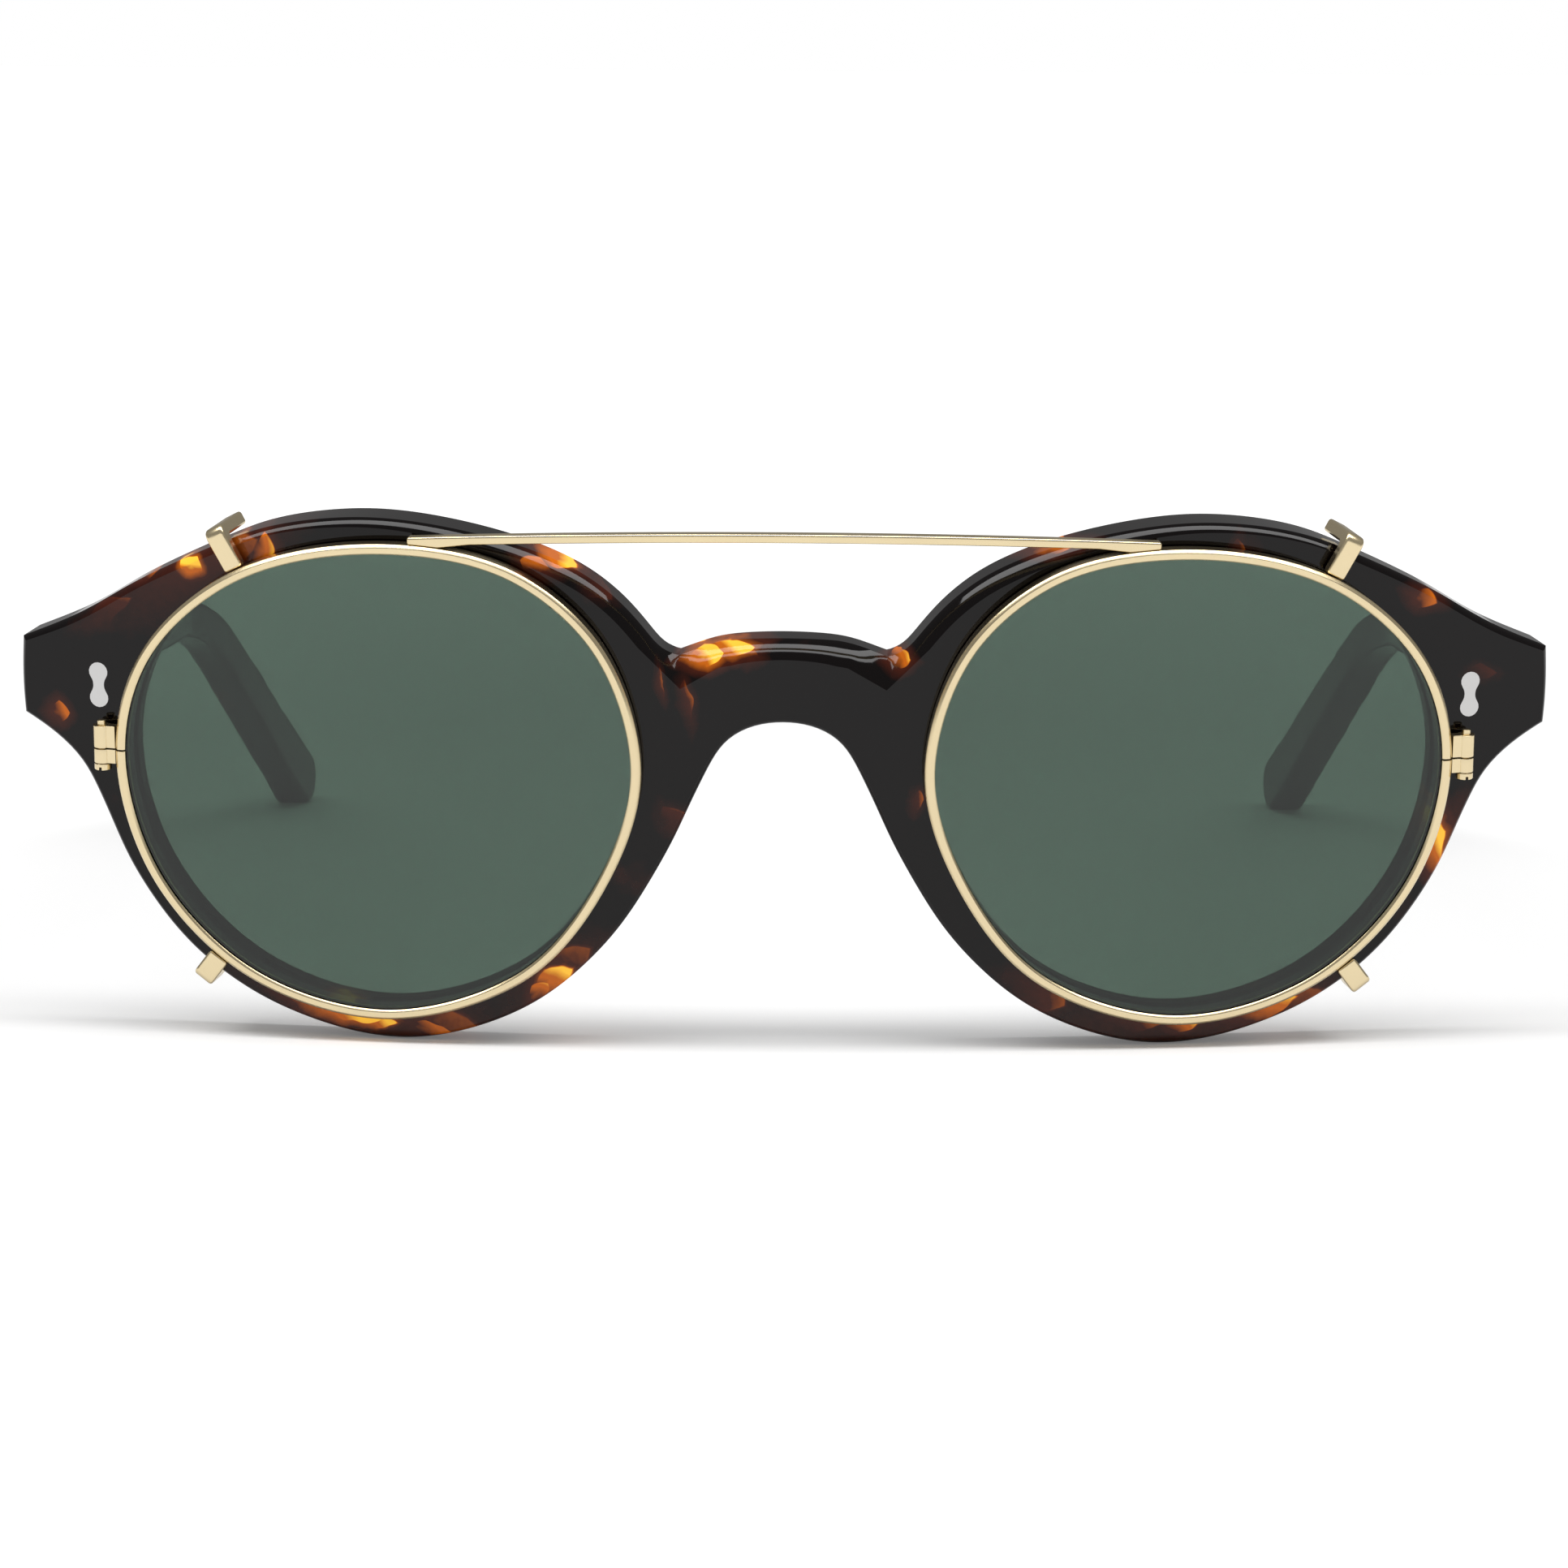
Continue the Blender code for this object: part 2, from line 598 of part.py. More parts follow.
def hinge_axis(side):
    """The middle of the hinge pin: beside the temple's inner face, behind the end piece."""
    x = temple_outer_x() - TEMPLE_THICKNESS - HINGE_BARREL_RADIUS - SEAT_GAP
    near = front_point(front_u_at(x), END_PIECE_LEVEL, FRONT_THICKNESS)
    lean_room = HINGE_KNUCKLE_HEIGHT * math.tan(FRONT_LEAN)
    leaf_back = near.y + SEAT_GAP + HINGE_PLATE_THICKNESS + lean_room
    return Vector((side * x, leaf_back + SEAT_GAP + HINGE_BARREL_RADIUS, near.z))


def front_u_at(x):
    """How far across the flat front a world x lies on its back face."""
    return WRAP_RADIUS * math.asin(x / (WRAP_RADIUS - FRONT_THICKNESS))


def knuckle(name, axis, low, high):
    """One barrel of the hinge between two heights from the hinge's middle."""
    return rod(name, axis + Vector((0, 0, low)), axis + Vector((0, 0, high)), HINGE_BARREL_RADIUS, BARREL_SIDES)


def bore(axis, length, radius):
    return rod("bore", axis - Vector((0, 0, length)), axis + Vector((0, 0, length)), radius, PIN_SIDES)


def front_hinge(name, side):
    """Plate riveted to the back of the end piece, with the two outer knuckles."""
    centre = front_rivet_centre(side)
    axis = hinge_axis(side)
    plate_front = FRONT_THICKNESS + SEAT_GAP
    half_width = FRONT_PLATE_WIDTH / 2
    half_height = HINGE_PLATE_HEIGHT / 2
    leaf = box(f"front_hinge_{name}",
               (centre.x - half_width, centre.y - half_height, -plate_front - HINGE_PLATE_THICKNESS),
               (centre.x + half_width, centre.y + half_height, -plate_front))
    for height in pin_heights(centre, FRONT_RIVET_SPACING):
        hole = rod("hole", (centre.x, height, -plate_front - HINGE_PLATE_THICKNESS - MM),
                   (centre.x, height, -plate_front + MM), RIVET_PIN_RADIUS + RUNNING_CLEARANCE, PIN_SIDES)
        leaf = cut(leaf, hole)
    leaf = wrap(leaf, strips=False)
    half = HINGE_KNUCKLE_HEIGHT / 2
    for low, high in ((-3 * half, -half - RUNNING_CLEARANCE), (half + RUNNING_CLEARANCE, 3 * half)):
        barrel = knuckle("barrel", axis, low, high)
        in_leaf = front_point(centre.x + side * (half_width - HINGE_PLATE_THICKNESS), centre.y + high,
                              plate_front + HINGE_PLATE_THICKNESS / 2)
        web = box("web", (in_leaf.x, in_leaf.y, axis.z + low), (axis.x, axis.y, axis.z + high))
        leaf = joined(joined(leaf, barrel), web)
    return cut(leaf, bore(axis, 4 * half, HINGE_SCREW_RADIUS + RUNNING_CLEARANCE))


def hinge_screw(name, side):
    """A slotted screw down through the three knuckles."""
    axis = hinge_axis(side)
    top = axis + Vector((0, 0, 1.5 * HINGE_KNUCKLE_HEIGHT + SOLDER_GAP))
    foot = axis - Vector((0, 0, 1.5 * HINGE_KNUCKLE_HEIGHT))
    screw = rod(f"hinge_screw_{name}", foot, top + Vector((0, 0, SOLDER_GAP)), HINGE_SCREW_RADIUS, PIN_SIDES)
    head = rod("head", top, top + Vector((0, 0, HINGE_SCREW_HEAD_HEIGHT)), HINGE_SCREW_HEAD_RADIUS, PIN_SIDES)
    slot_low = top + Vector((-2 * HINGE_SCREW_HEAD_RADIUS, -LOCK_SLOT_WIDTH / 2,
                             HINGE_SCREW_HEAD_HEIGHT - LOCK_SLOT_DEPTH))
    slot_high = top + Vector((2 * HINGE_SCREW_HEAD_RADIUS, LOCK_SLOT_WIDTH / 2, HINGE_SCREW_HEAD_HEIGHT + MM))
    return cut(joined(screw, head), box("slot", slot_low, slot_high))


def temple_hinge(name, side):
    """Plate riveted inside the temple, with the middle knuckle."""
    axis = hinge_axis(side)
    inner = TEMPLE_THICKNESS / 2 + SEAT_GAP
    centre = temple_rivet_centre()
    start = axis.y + HINGE_BARREL_RADIUS + 2 * SEAT_GAP - temple_start(side).y
    leaf = box(f"temple_hinge_{name}", (start, centre.y - HINGE_PLATE_HEIGHT / 2, -inner - HINGE_PLATE_THICKNESS),
               (start + TEMPLE_PLATE_LENGTH, centre.y + HINGE_PLATE_HEIGHT / 2, -inner))
    for height in pin_heights(centre, TEMPLE_RIVET_SPACING):
        hole = rod("hole", (centre.x, height, -inner - HINGE_PLATE_THICKNESS - MM), (centre.x, height, -inner + MM),
                   RIVET_PIN_RADIUS + RUNNING_CLEARANCE, PIN_SIDES)
        leaf = cut(leaf, hole)
    leaf = on_temple(leaf, side)
    half = HINGE_KNUCKLE_HEIGHT / 2 - RUNNING_CLEARANCE
    barrel = knuckle("barrel", axis, -half, half)
    plate_outer = temple_point((start, centre.y, -inner), side)
    web = box("web", (axis.x, axis.y, axis.z - half), (plate_outer.x - side * SEAT_GAP / 2, plate_outer.y + MM,
                                                       axis.z + half))
    leaf = joined(joined(leaf, web), barrel)
    return cut(leaf, bore(axis, HINGE_KNUCKLE_HEIGHT, HINGE_SCREW_RADIUS + RUNNING_CLEARANCE))


# ---------------------------------------------------------------- temples

def temple_start(side):
    """Where the temple's centre line meets the line of the hinge pins."""
    return Vector((side * (temple_outer_x() - TEMPLE_THICKNESS / 2), hinge_axis(side).y, hinge_axis(side).z))


def temple_centre_line():
    """Points (back, up) along the flat temple: straight, bent down, then straight to the table."""
    height = hinge_axis(1).z
    turn = TEMPLE_DROP_ANGLE - TEMPLE_SLOPE
    bend = arc((TEMPLE_STRAIGHT, height - TEMPLE_BEND_RADIUS), TEMPLE_BEND_RADIUS,
               math.pi / 2, math.pi / 2 - turn, 2 * ARC_STEPS)
    bend_height = sloped(bend[-1]).y
    down = (bend_height - TEMPLE_HEIGHT_TIP / 2) / math.sin(TEMPLE_DROP_ANGLE)
    heading = Vector((math.cos(turn), -math.sin(turn)))
    tail = [bend[-1] + heading * down * step / ARC_STEPS for step in range(1, ARC_STEPS + 1)]
    return [Vector((0, height))] + bend + tail


def sloped(point):
    """A point (back, up) of the flat temple after the temple is sloped down from its hinge."""
    height = hinge_axis(1).z
    slope = TEMPLE_SLOPE
    rise = point[1] - height
    return Vector((point[0] * math.cos(slope) + rise * math.sin(slope),
                   height + rise * math.cos(slope) - point[0] * math.sin(slope)))


def temple_outline():
    """Side view of the temple: deep at the hinge, slim in the middle, wider at the round tip."""
    line = temple_centre_line()
    travelled = [0.0]
    for before, after in zip(line, line[1:]):
        travelled.append(travelled[-1] + (after - before).length)
    upper = []
    lower = []
    for index, point in enumerate(line):
        along = (line[min(index + 1, len(line) - 1)] - line[max(index - 1, 0)]).normalized()
        if travelled[index] <= TEMPLE_STRAIGHT:
            share = travelled[index] / TEMPLE_STRAIGHT
            height = TEMPLE_HEIGHT_FRONT + (TEMPLE_HEIGHT_MIDDLE - TEMPLE_HEIGHT_FRONT) * share
        else:
            share = (travelled[index] - TEMPLE_STRAIGHT) / (travelled[-1] - TEMPLE_STRAIGHT)
            height = TEMPLE_HEIGHT_MIDDLE + (TEMPLE_HEIGHT_TIP - TEMPLE_HEIGHT_MIDDLE) * share
        normal = Vector((-along.y, along.x)) * height / 2
        upper.append(point + normal)
        lower.append(point - normal)
    turn = TEMPLE_DROP_ANGLE - TEMPLE_SLOPE
    tip = arc(line[-1], TEMPLE_HEIGHT_TIP / 2, math.pi / 2 - turn, -math.pi / 2 - turn, 2 * ARC_STEPS)
    ahead = Vector((-FRONT_THICKNESS, 0))
    return [upper[0] + ahead] + upper[:-1] + tip + list(reversed(lower[:-1])) + [lower[0] + ahead]


def temple_point(co, side):
    """World position of a point (back, up, outwards) of the flat temple."""
    back, height = sloped(co)
    outwards = co[2]
    start = temple_start(side)
    past_bend = max(0.0, co[0] - TEMPLE_STRAIGHT) / (temple_centre_line()[-1].x - TEMPLE_STRAIGHT)
    inwards = TEMPLE_TIP_CURL * past_bend**TIP_CURL_POWER + back * math.sin(TEMPLE_TOE_IN)
    x = abs(start.x) - inwards + outwards * math.cos(TEMPLE_TOE_IN)
    y = start.y + back * math.cos(TEMPLE_TOE_IN) + outwards * math.sin(TEMPLE_TOE_IN)
    return Vector((side * x, y, height))


def on_temple(flat, side):
    return moved_by(flat, lambda co: temple_point(co, side))


def wire(name, points, radius):
    """A round wire through points of the flat temple."""
    curve = bpy.data.curves.new(name, "CURVE")
    curve.dimensions = "3D"
    curve.bevel_depth = radius
    curve.bevel_resolution = 2
    curve.use_fill_caps = True
    spline = curve.splines.new("POLY")
    spline.points.add(len(points) - 1)
    for control, point in zip(spline.points, points):
        control.co = (point.x, point.y, 0, 1)
    return baked(link(bpy.data.objects.new(name, curve)))


def core_line():
    """The core wire's centre line: the temple's own, from just behind its rivets to short of the tip."""
    line = temple_centre_line()
    kept = [point for point in line if (line[-1] - point).length > CORE_TIP_MARGIN]
    return [Vector((SEAT_GAP * 2, line[0].y))] + kept[1:]


def temple(name, side):
    """The acetate temple with its core channel, rivet seat and mitred butt."""
    half = TEMPLE_THICKNESS / 2
    body = plate(f"temple_{name}", [temple_outline()], -half, half)
    line = core_line()
    channel_end = line[-1] + (line[-1] - line[-2]).normalized() * SEAT_GAP
    channel_start = Vector((-2 * FRONT_THICKNESS, line[0].y))
    channel = wire("channel", [channel_start] + line[1:] + [channel_end], CORE_RADIUS + GROOVE_GAP)
    body = cut(body, channel)
    centre = temple_rivet_centre()
    seat_bottom = half - RIVET_INSET - RIVET_PLATE_THICKNESS - GROOVE_GAP
    seat = plate("seat", [dumbbell(centre, TEMPLE_RIVET_SPACING, GROOVE_GAP)], -half - MM, -seat_bottom)
    for height in pin_heights(centre, TEMPLE_RIVET_SPACING):
        hole = rod("hole", (centre.x, height, -half - MM), (centre.x, height, (half + seat_bottom) / 2),
                   RIVET_PIN_RADIUS + RUNNING_CLEARANCE, PIN_SIDES)
        seat = joined(seat, hole)
    body = cut(body, seat)
    in_strips(body, TEMPLE_STRAIGHT)
    body = on_temple(body, side)
    end = end_piece_edge() * side
    mitre = box("mitre", (end - side * 3 * TEMPLE_THICKNESS, END_PIECE_LEVEL - 2 * END_PIECE_HEIGHT,
                          -FRONT_THICKNESS - BUTT_GAP),
                (end + side * 3 * TEMPLE_THICKNESS, END_PIECE_LEVEL + 2 * END_PIECE_HEIGHT,
                 2 * FRONT_THICKNESS))
    return cut(body, wrap(mitre))


def temple_core(name, side):
    """The stiffening wire inside the temple."""
    return on_temple(wire(f"temple_core_{name}", core_line(), CORE_RADIUS), side)


def temple_rivet_centre():
    return Vector((TEMPLE_RIVET_FROM_BUTT, hinge_axis(1).z))


def temple_rivet(name, side):
    """A dumbbell head sunk in the temple's outer face, with two pins through to the hinge plate."""
    centre = temple_rivet_centre()
    face = TEMPLE_THICKNESS / 2
    rivet = plate(f"temple_rivet_{name}", [dumbbell(centre, TEMPLE_RIVET_SPACING)],
                  RIVET_INSET - face, RIVET_INSET + RIVET_PLATE_THICKNESS - face)
    for height in pin_heights(centre, TEMPLE_RIVET_SPACING):
        pin = rod("pin", (centre.x, height, -face - SEAT_GAP - HINGE_PLATE_THICKNESS),
                  (centre.x, height, face - RIVET_INSET - RIVET_PLATE_THICKNESS / 2), RIVET_PIN_RADIUS, PIN_SIDES)
        rivet = joined(rivet, pin)
    return on_temple(rivet, side)


# ---------------------------------------------------------------- clip-on

BAND_MIDDLE = -CLIP_STANDOFF - CLIP_BAND_DEPTH / 2


def clip_rim(name, side):
    """A thin metal band around the lens, grooved inside and split beside the lock."""
    inner = grown(clip_loop(), -CLIP_BAND_WIDTH)
    rim = plate(f"clip_rim_{name}", [mirrored(clip_loop(), side), mirrored(inner, side)],
                -CLIP_STANDOFF - CLIP_BAND_DEPTH, -CLIP_STANDOFF)
    half_groove = CLIP_LENS_THICKNESS / 2 + GROOVE_GAP
    groove = plate("groove", [mirrored(grown(inner, CLIP_GROOVE_DEPTH), side)],
                   BAND_MIDDLE - half_groove, BAND_MIDDLE + half_groove)
    rim = cut(rim, groove)
    outer_u = lock_rim_u()
    split = box("split", (side * (outer_u - 2 * CLIP_BAND_WIDTH), CLIP_SPLIT_LEVEL - CLIP_SPLIT_WIDTH / 2, 0),
                (side * (outer_u + CLIP_BAND_WIDTH), CLIP_SPLIT_LEVEL + CLIP_SPLIT_WIDTH / 2,
                 2 * (CLIP_STANDOFF + CLIP_BAND_DEPTH)))
    return wrap(cut(rim, split))


def clip_lens(name, side):
    """A tinted lens with its edge in the rim's groove."""
    edge = grown(clip_loop(), -CLIP_BAND_WIDTH + CLIP_GROOVE_DEPTH - GROOVE_GAP)
    half = CLIP_LENS_THICKNESS / 2
    return wrap(plate(f"clip_lens_{name}", [mirrored(edge, side)], BAND_MIDDLE - half, BAND_MIDDLE + half))


def bar_crown():
    """Height of the bar's middle line at its crown."""
    return max(point.y for point in clip_loop()) + BAR_CROWN_ABOVE_RIM


def clip_bar():
    """The thin arched bar, with a foot soldered on top of each rim."""
    half = BAR_SPAN / 2
    steps = 4 * ARC_STEPS

    def arch(u):
        return bar_crown() - BAR_ARCH_RISE * (u / half)**2

    def underside(u):
        if abs(u) < half - BAR_FOOT_LENGTH:
            return arch(u) - BAR_HEIGHT / 2
        return crossing(clip_loop(), Vector((abs(u), 0)), Vector((0, 1))).y + SOLDER_GAP

    across = [half * (2 * step / steps - 1) for step in range(steps + 1)]
    top = [Vector((u, arch(u) + BAR_HEIGHT / 2)) for u in across]
    bottom = [Vector((u, underside(u))) for u in reversed(across)]
    return wrap(plate("clip_bar", [top + bottom], BAND_MIDDLE - BAR_THICKNESS / 2, BAND_MIDDLE + BAR_THICKNESS / 2))


def lock_rim_u():
    """How far across the rim's outer edge lies at the split."""
    return crossing(clip_loop(), Vector((LENS_CENTRE.x, CLIP_SPLIT_LEVEL)), Vector((1, 0))).x


def lock_axis_u():
    return lock_rim_u() + BARREL_STANDOFF + BARREL_RADIUS


def rim_lock(name, side, low, high):
    """Half of the lock that closes the rim: a barrel and the web that solders it to the rim."""
    axis_u = side * lock_axis_u()
    middle = -BAND_MIDDLE
    barrel = rod(name, (axis_u, low, middle), (axis_u, high, middle), BARREL_RADIUS, BARREL_SIDES)
    edge_u = max(point.x for point in clip_loop()) + SOLDER_GAP
    web = box("web", (side * edge_u, low, middle - BARREL_WEB_THICKNESS / 2),
              (axis_u, high, middle + BARREL_WEB_THICKNESS / 2))
    lock = joined(barrel, web)
    hole = rod("hole", (axis_u, low - MM, middle), (axis_u, high + MM, middle),
               LOCK_SCREW_RADIUS + RUNNING_CLEARANCE, PIN_SIDES)
    return wrap(cut(lock, hole), strips=False)


def rim_lock_upper(name, side):
    low = CLIP_SPLIT_LEVEL + CLIP_SPLIT_WIDTH / 2
    return rim_lock(f"rim_lock_upper_{name}", side, low, low + BARREL_UPPER_LENGTH)


def rim_lock_lower(name, side):
    high = CLIP_SPLIT_LEVEL - CLIP_SPLIT_WIDTH / 2
    return rim_lock(f"rim_lock_lower_{name}", side, high - BARREL_LOWER_LENGTH, high)


def rim_lock_screw(name, side):
    """The slotted screw up through both halves of the lock."""
    axis_u = side * lock_axis_u()
    middle = -BAND_MIDDLE
    seat = CLIP_SPLIT_LEVEL - CLIP_SPLIT_WIDTH / 2 - BARREL_LOWER_LENGTH - SOLDER_GAP
    top = CLIP_SPLIT_LEVEL + CLIP_SPLIT_WIDTH / 2 + BARREL_UPPER_LENGTH + LOCK_SCREW_TIP
    foot = seat - LOCK_SCREW_HEAD_HEIGHT
    screw = rod(f"rim_lock_screw_{name}", (axis_u, seat - SOLDER_GAP, middle), (axis_u, top, middle),
                LOCK_SCREW_RADIUS, PIN_SIDES)
    head = rod("head", (axis_u, foot, middle), (axis_u, seat, middle), BARREL_RADIUS, BARREL_SIDES)
    slot = box("slot", (axis_u - LOCK_SLOT_WIDTH / 2, foot - MM, middle - 2 * BARREL_RADIUS),
               (axis_u + LOCK_SLOT_WIDTH / 2, foot + LOCK_SLOT_DEPTH, middle + 2 * BARREL_RADIUS))
    return wrap(cut(joined(screw, head), slot), strips=False)


def claw(name, side, angle, width):
    """A bent strip from the rim, up the front's face and straight back over its edge."""
    towards_root = Vector((math.cos(angle) * APERTURE_WIDTH, math.sin(angle) * APERTURE_HEIGHT))
    root = crossing(clip_loop(), LENS_CENTRE, towards_root)
    nearest = min(range(len(clip_loop())), key=lambda number: (clip_loop()[number] - root).length)
    edge = crossing(front_outline(), root, loop_normals(clip_loop())[nearest])
    root_face = front_point(side * root.x, root.y, 0)
    edge_face = front_point(side * edge.x, edge.y, 0)
    radial = edge_face - root_face
    radial.y = 0
    radial.normalize()
    back = front_point(side * edge.x, edge.y, FRONT_THICKNESS) - edge_face
    back -= radial * back.dot(radial)
    back.normalize()
    rise = (edge_face - root_face).dot(back)
    run = (edge_face - root_face).dot(radial)
    tangent = radial.cross(back)

    def furthest(loop, depths):
        """The greatest distance along the claw of the stretch of a loop that the claw passes over."""
        edges = zip(loop, loop[1:] + loop[:1])
        flats = [start.lerp(end, step / ARC_STEPS) for start, end in edges for step in range(ARC_STEPS)]
        points = [front_point(side * flat.x, flat.y, depth) - root_face for flat in flats for depth in depths]
        return max(point.dot(radial) for point in points if abs(point.dot(tangent)) < width / 2 + CLAW_GAP)

    def face(distance):
        return rise * distance / run - CLIP_STANDOFF

    start = furthest(clip_loop(), (-CLIP_STANDOFF, -CLIP_STANDOFF - CLIP_BAND_DEPTH)) + SOLDER_GAP
    inner = furthest(front_outline(), (0, FRONT_THICKNESS)) + CLAW_GAP
    outer = inner + CLAW_THICKNESS
    end = (front_point(side * edge.x, edge.y, FRONT_THICKNESS) - root_face).dot(back) + CLAW_ARM_OVERRUN
    front_corner = face(outer) - CLAW_THICKNESS
    bend = arc((outer - CLAW_BEND_RADIUS, front_corner + CLAW_BEND_RADIUS), CLAW_BEND_RADIUS, -math.pi / 2, 0)
    hook = [(start, face(start)), (start, face(start) - CLAW_THICKNESS)] + bend + [
        (outer, end), (inner, end), (inner, face(inner))]
    strip = plate(name, [hook], -width / 2, width / 2)
    axes = Matrix((radial, back, tangent)).transposed().to_4x4()
    placing = Matrix.Translation(root_face) @ axes
    return moved_by(strip, lambda co: placing @ co)


def upper_claw(name, side):
    return claw(f"upper_claw_{name}", side, UPPER_CLAW_ANGLE, UPPER_CLAW_WIDTH)


def lower_claw(name, side):
    return claw(f"lower_claw_{name}", side, LOWER_CLAW_ANGLE, LOWER_CLAW_WIDTH)


# ---------------------------------------------------------------- finishes and assembly

def finish(name, colour, roughness, metallic=0.0, transmission=0.0):
    """A plain Principled material."""
    material = bpy.data.materials.new(name)
    material.use_nodes = True
    surface = material.node_tree.nodes["Principled BSDF"]
    surface.inputs["Base Color"].default_value = (*colour, 1)
    surface.inputs["Roughness"].default_value = roughness
    surface.inputs["Metallic"].default_value = metallic
    surface.inputs["Transmission Weight"].default_value = transmission
    return material


def placed(node, material, parent):
    """Gives a part its material and an origin at its middle, and hangs it on its parent."""
    corners = [Vector(corner) for corner in node.bound_box]
    middle = sum(corners, Vector()) / len(corners)
    node.data.transform(Matrix.Translation(-middle))
    node.location = middle - parent.location
    node.parent = parent
    node.data.materials.append(material)
    node.data.shade_smooth()
    node.data.set_sharp_from_angle(angle=math.radians(30))
    bpy.context.scene.collection.objects.unlink(node)
    bpy.data.collections["clip_on_glasses"].objects.link(node)


def centre_on_origin(roots):
    """Shifts everything so that its box is centred over the origin."""
    bpy.context.view_layer.update()
    corners = [node.matrix_world @ Vector(corner) for node in bpy.data.objects if node.type == "MESH"
               for corner in node.bound_box]
    for axis in range(2):
        places = [corner[axis] for corner in corners]
        for root in roots:
            root.location[axis] -= (min(places) + max(places)) / 2


def pivot(name, location):
    """An empty at a joint."""
    empty = bpy.data.objects.new(name, None)
    empty.location = location
    bpy.data.collections["clip_on_glasses"].objects.link(empty)
    return empty


def build():
    clear_scene()
    glasses = bpy.data.collections.new("clip_on_glasses")
    bpy.context.scene.collection.children.link(glasses)
    acetate = finish("tortoise_acetate", (0.022, 0.014, 0.012), 0.12)
    clear = finish("clear_lens", (0.95, 0.97, 0.96), 0.03, transmission=1.0)
    green = finish("green_lens", (0.09, 0.133, 0.105), 0.03, transmission=1.0)
    gold = finish("pale_gold", (0.66, 0.55, 0.37), 0.22, metallic=1.0)
    steel = finish("steel", (0.58, 0.57, 0.56), 0.3, metallic=1.0)
    fixed = pivot("frame", Vector())
    carrier = pivot("clip_on_slide", front_point(0, bar_crown(), BAND_MIDDLE))
    placed(frame_front(), acetate, fixed)
    placed(clip_bar(), gold, carrier)
    roots = [fixed, carrier]
    for name, side in SIDES.items():
        for maker, material in ((clear_lens, clear), (nose_pad, acetate), (front_rivet, steel),
                                (front_hinge, steel), (hinge_screw, steel)):
            placed(maker(name, side), material, fixed)
        hinge = pivot(f"temple_{name}_pivot", hinge_axis(side))
        roots.append(hinge)
        for maker, material in ((temple, acetate), (temple_core, steel), (temple_hinge, steel),
                                (temple_rivet, steel)):
            placed(maker(name, side), material, hinge)
        for maker, material in ((clip_rim, gold), (clip_lens, green), (rim_lock_upper, gold),
                                (rim_lock_lower, gold), (rim_lock_screw, gold), (upper_claw, gold),
                                (lower_claw, gold)):
            placed(maker(name, side), material, carrier)
    centre_on_origin(roots)


build()
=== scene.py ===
"""Dresses the round acetate glasses and their metal sun clip-on for looks.

Places and sizes come from the frame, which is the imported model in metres, +Z up, with
the front towards -Y.  Each new piece stands where its CAD node is and replaces it.  Only
the temples' core wires keep their nodes.
"""

import json
import math

import bmesh
import bpy
from mathutils import Matrix, Vector

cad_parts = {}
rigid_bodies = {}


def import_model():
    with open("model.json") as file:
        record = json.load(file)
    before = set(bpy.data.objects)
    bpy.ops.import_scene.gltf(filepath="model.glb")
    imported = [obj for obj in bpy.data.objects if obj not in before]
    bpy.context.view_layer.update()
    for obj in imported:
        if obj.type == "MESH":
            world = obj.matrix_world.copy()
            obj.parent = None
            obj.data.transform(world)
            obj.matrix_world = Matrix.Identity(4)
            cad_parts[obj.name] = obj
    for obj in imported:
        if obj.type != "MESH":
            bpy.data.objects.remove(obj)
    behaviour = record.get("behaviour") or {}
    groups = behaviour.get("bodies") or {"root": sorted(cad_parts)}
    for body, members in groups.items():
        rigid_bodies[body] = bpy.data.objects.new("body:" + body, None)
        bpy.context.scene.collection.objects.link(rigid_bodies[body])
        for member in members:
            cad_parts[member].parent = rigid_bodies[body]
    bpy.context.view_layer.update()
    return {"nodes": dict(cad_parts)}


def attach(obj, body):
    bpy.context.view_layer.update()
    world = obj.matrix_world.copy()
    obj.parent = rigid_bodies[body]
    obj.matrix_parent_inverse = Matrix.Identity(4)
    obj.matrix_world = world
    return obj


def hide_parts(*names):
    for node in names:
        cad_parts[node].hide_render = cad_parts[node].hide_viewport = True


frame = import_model()
MM = 0.001
SIDES = {"left": -1, "right": 1}

# ---------------------------------------------------------------- acetate front
# The front is one sheet of tortoiseshell acetate, bent round an upright cylinder and
# leaned forward.  Its outline is cut with a wide sloped facet over the rims and bridge, and
# every edge is tumbled and polished.  The lens groove and the rivet seats are cut in.

WRAP_RADIUS = 275 * MM
FRONT_LEAN = math.radians(8)
CORNER_ANGLE = math.radians(30)
STRAIGHT_ANGLE = math.radians(0.4)
WIDEST_MITRE = math.radians(60)
OUTLINE_STEP = 0.7 * MM
SEAT_STEP = 0.3 * MM
BEND_STEP = 1.6 * MM
ON_A_CUT_WITHIN = 0.001
WELD = 0.002 * MM
LEVEL_WITHIN = 0.03 * MM
BROAD_FACE = 0.999
POLISH = 0.16 * MM
POLISHED_ANGLE = math.radians(25)
SHADED_ANGLE = math.radians(38)
FLATNESS_WEIGHT = 80
GROOVE_FRONT = 1.4 * MM
GROOVE_BACK = 3.2 * MM
GROOVE_DEEP = 0.6 * MM
SEAT_DEPTH = 0.62 * MM
SEAT_CLOSER = 0.14 * MM
FACET_SLOPE = 1.15
FACET_NARROWEST = 0.3 * MM
FACET_WIDEST = 1.3 * MM
FACET_LEVELS = 5
FACET_BULGE = 0.07
CREASE_BULGE = 0.02
VALLEY_ACROSS = 9.8 * MM
VALLEY_REACH = 3.2 * MM


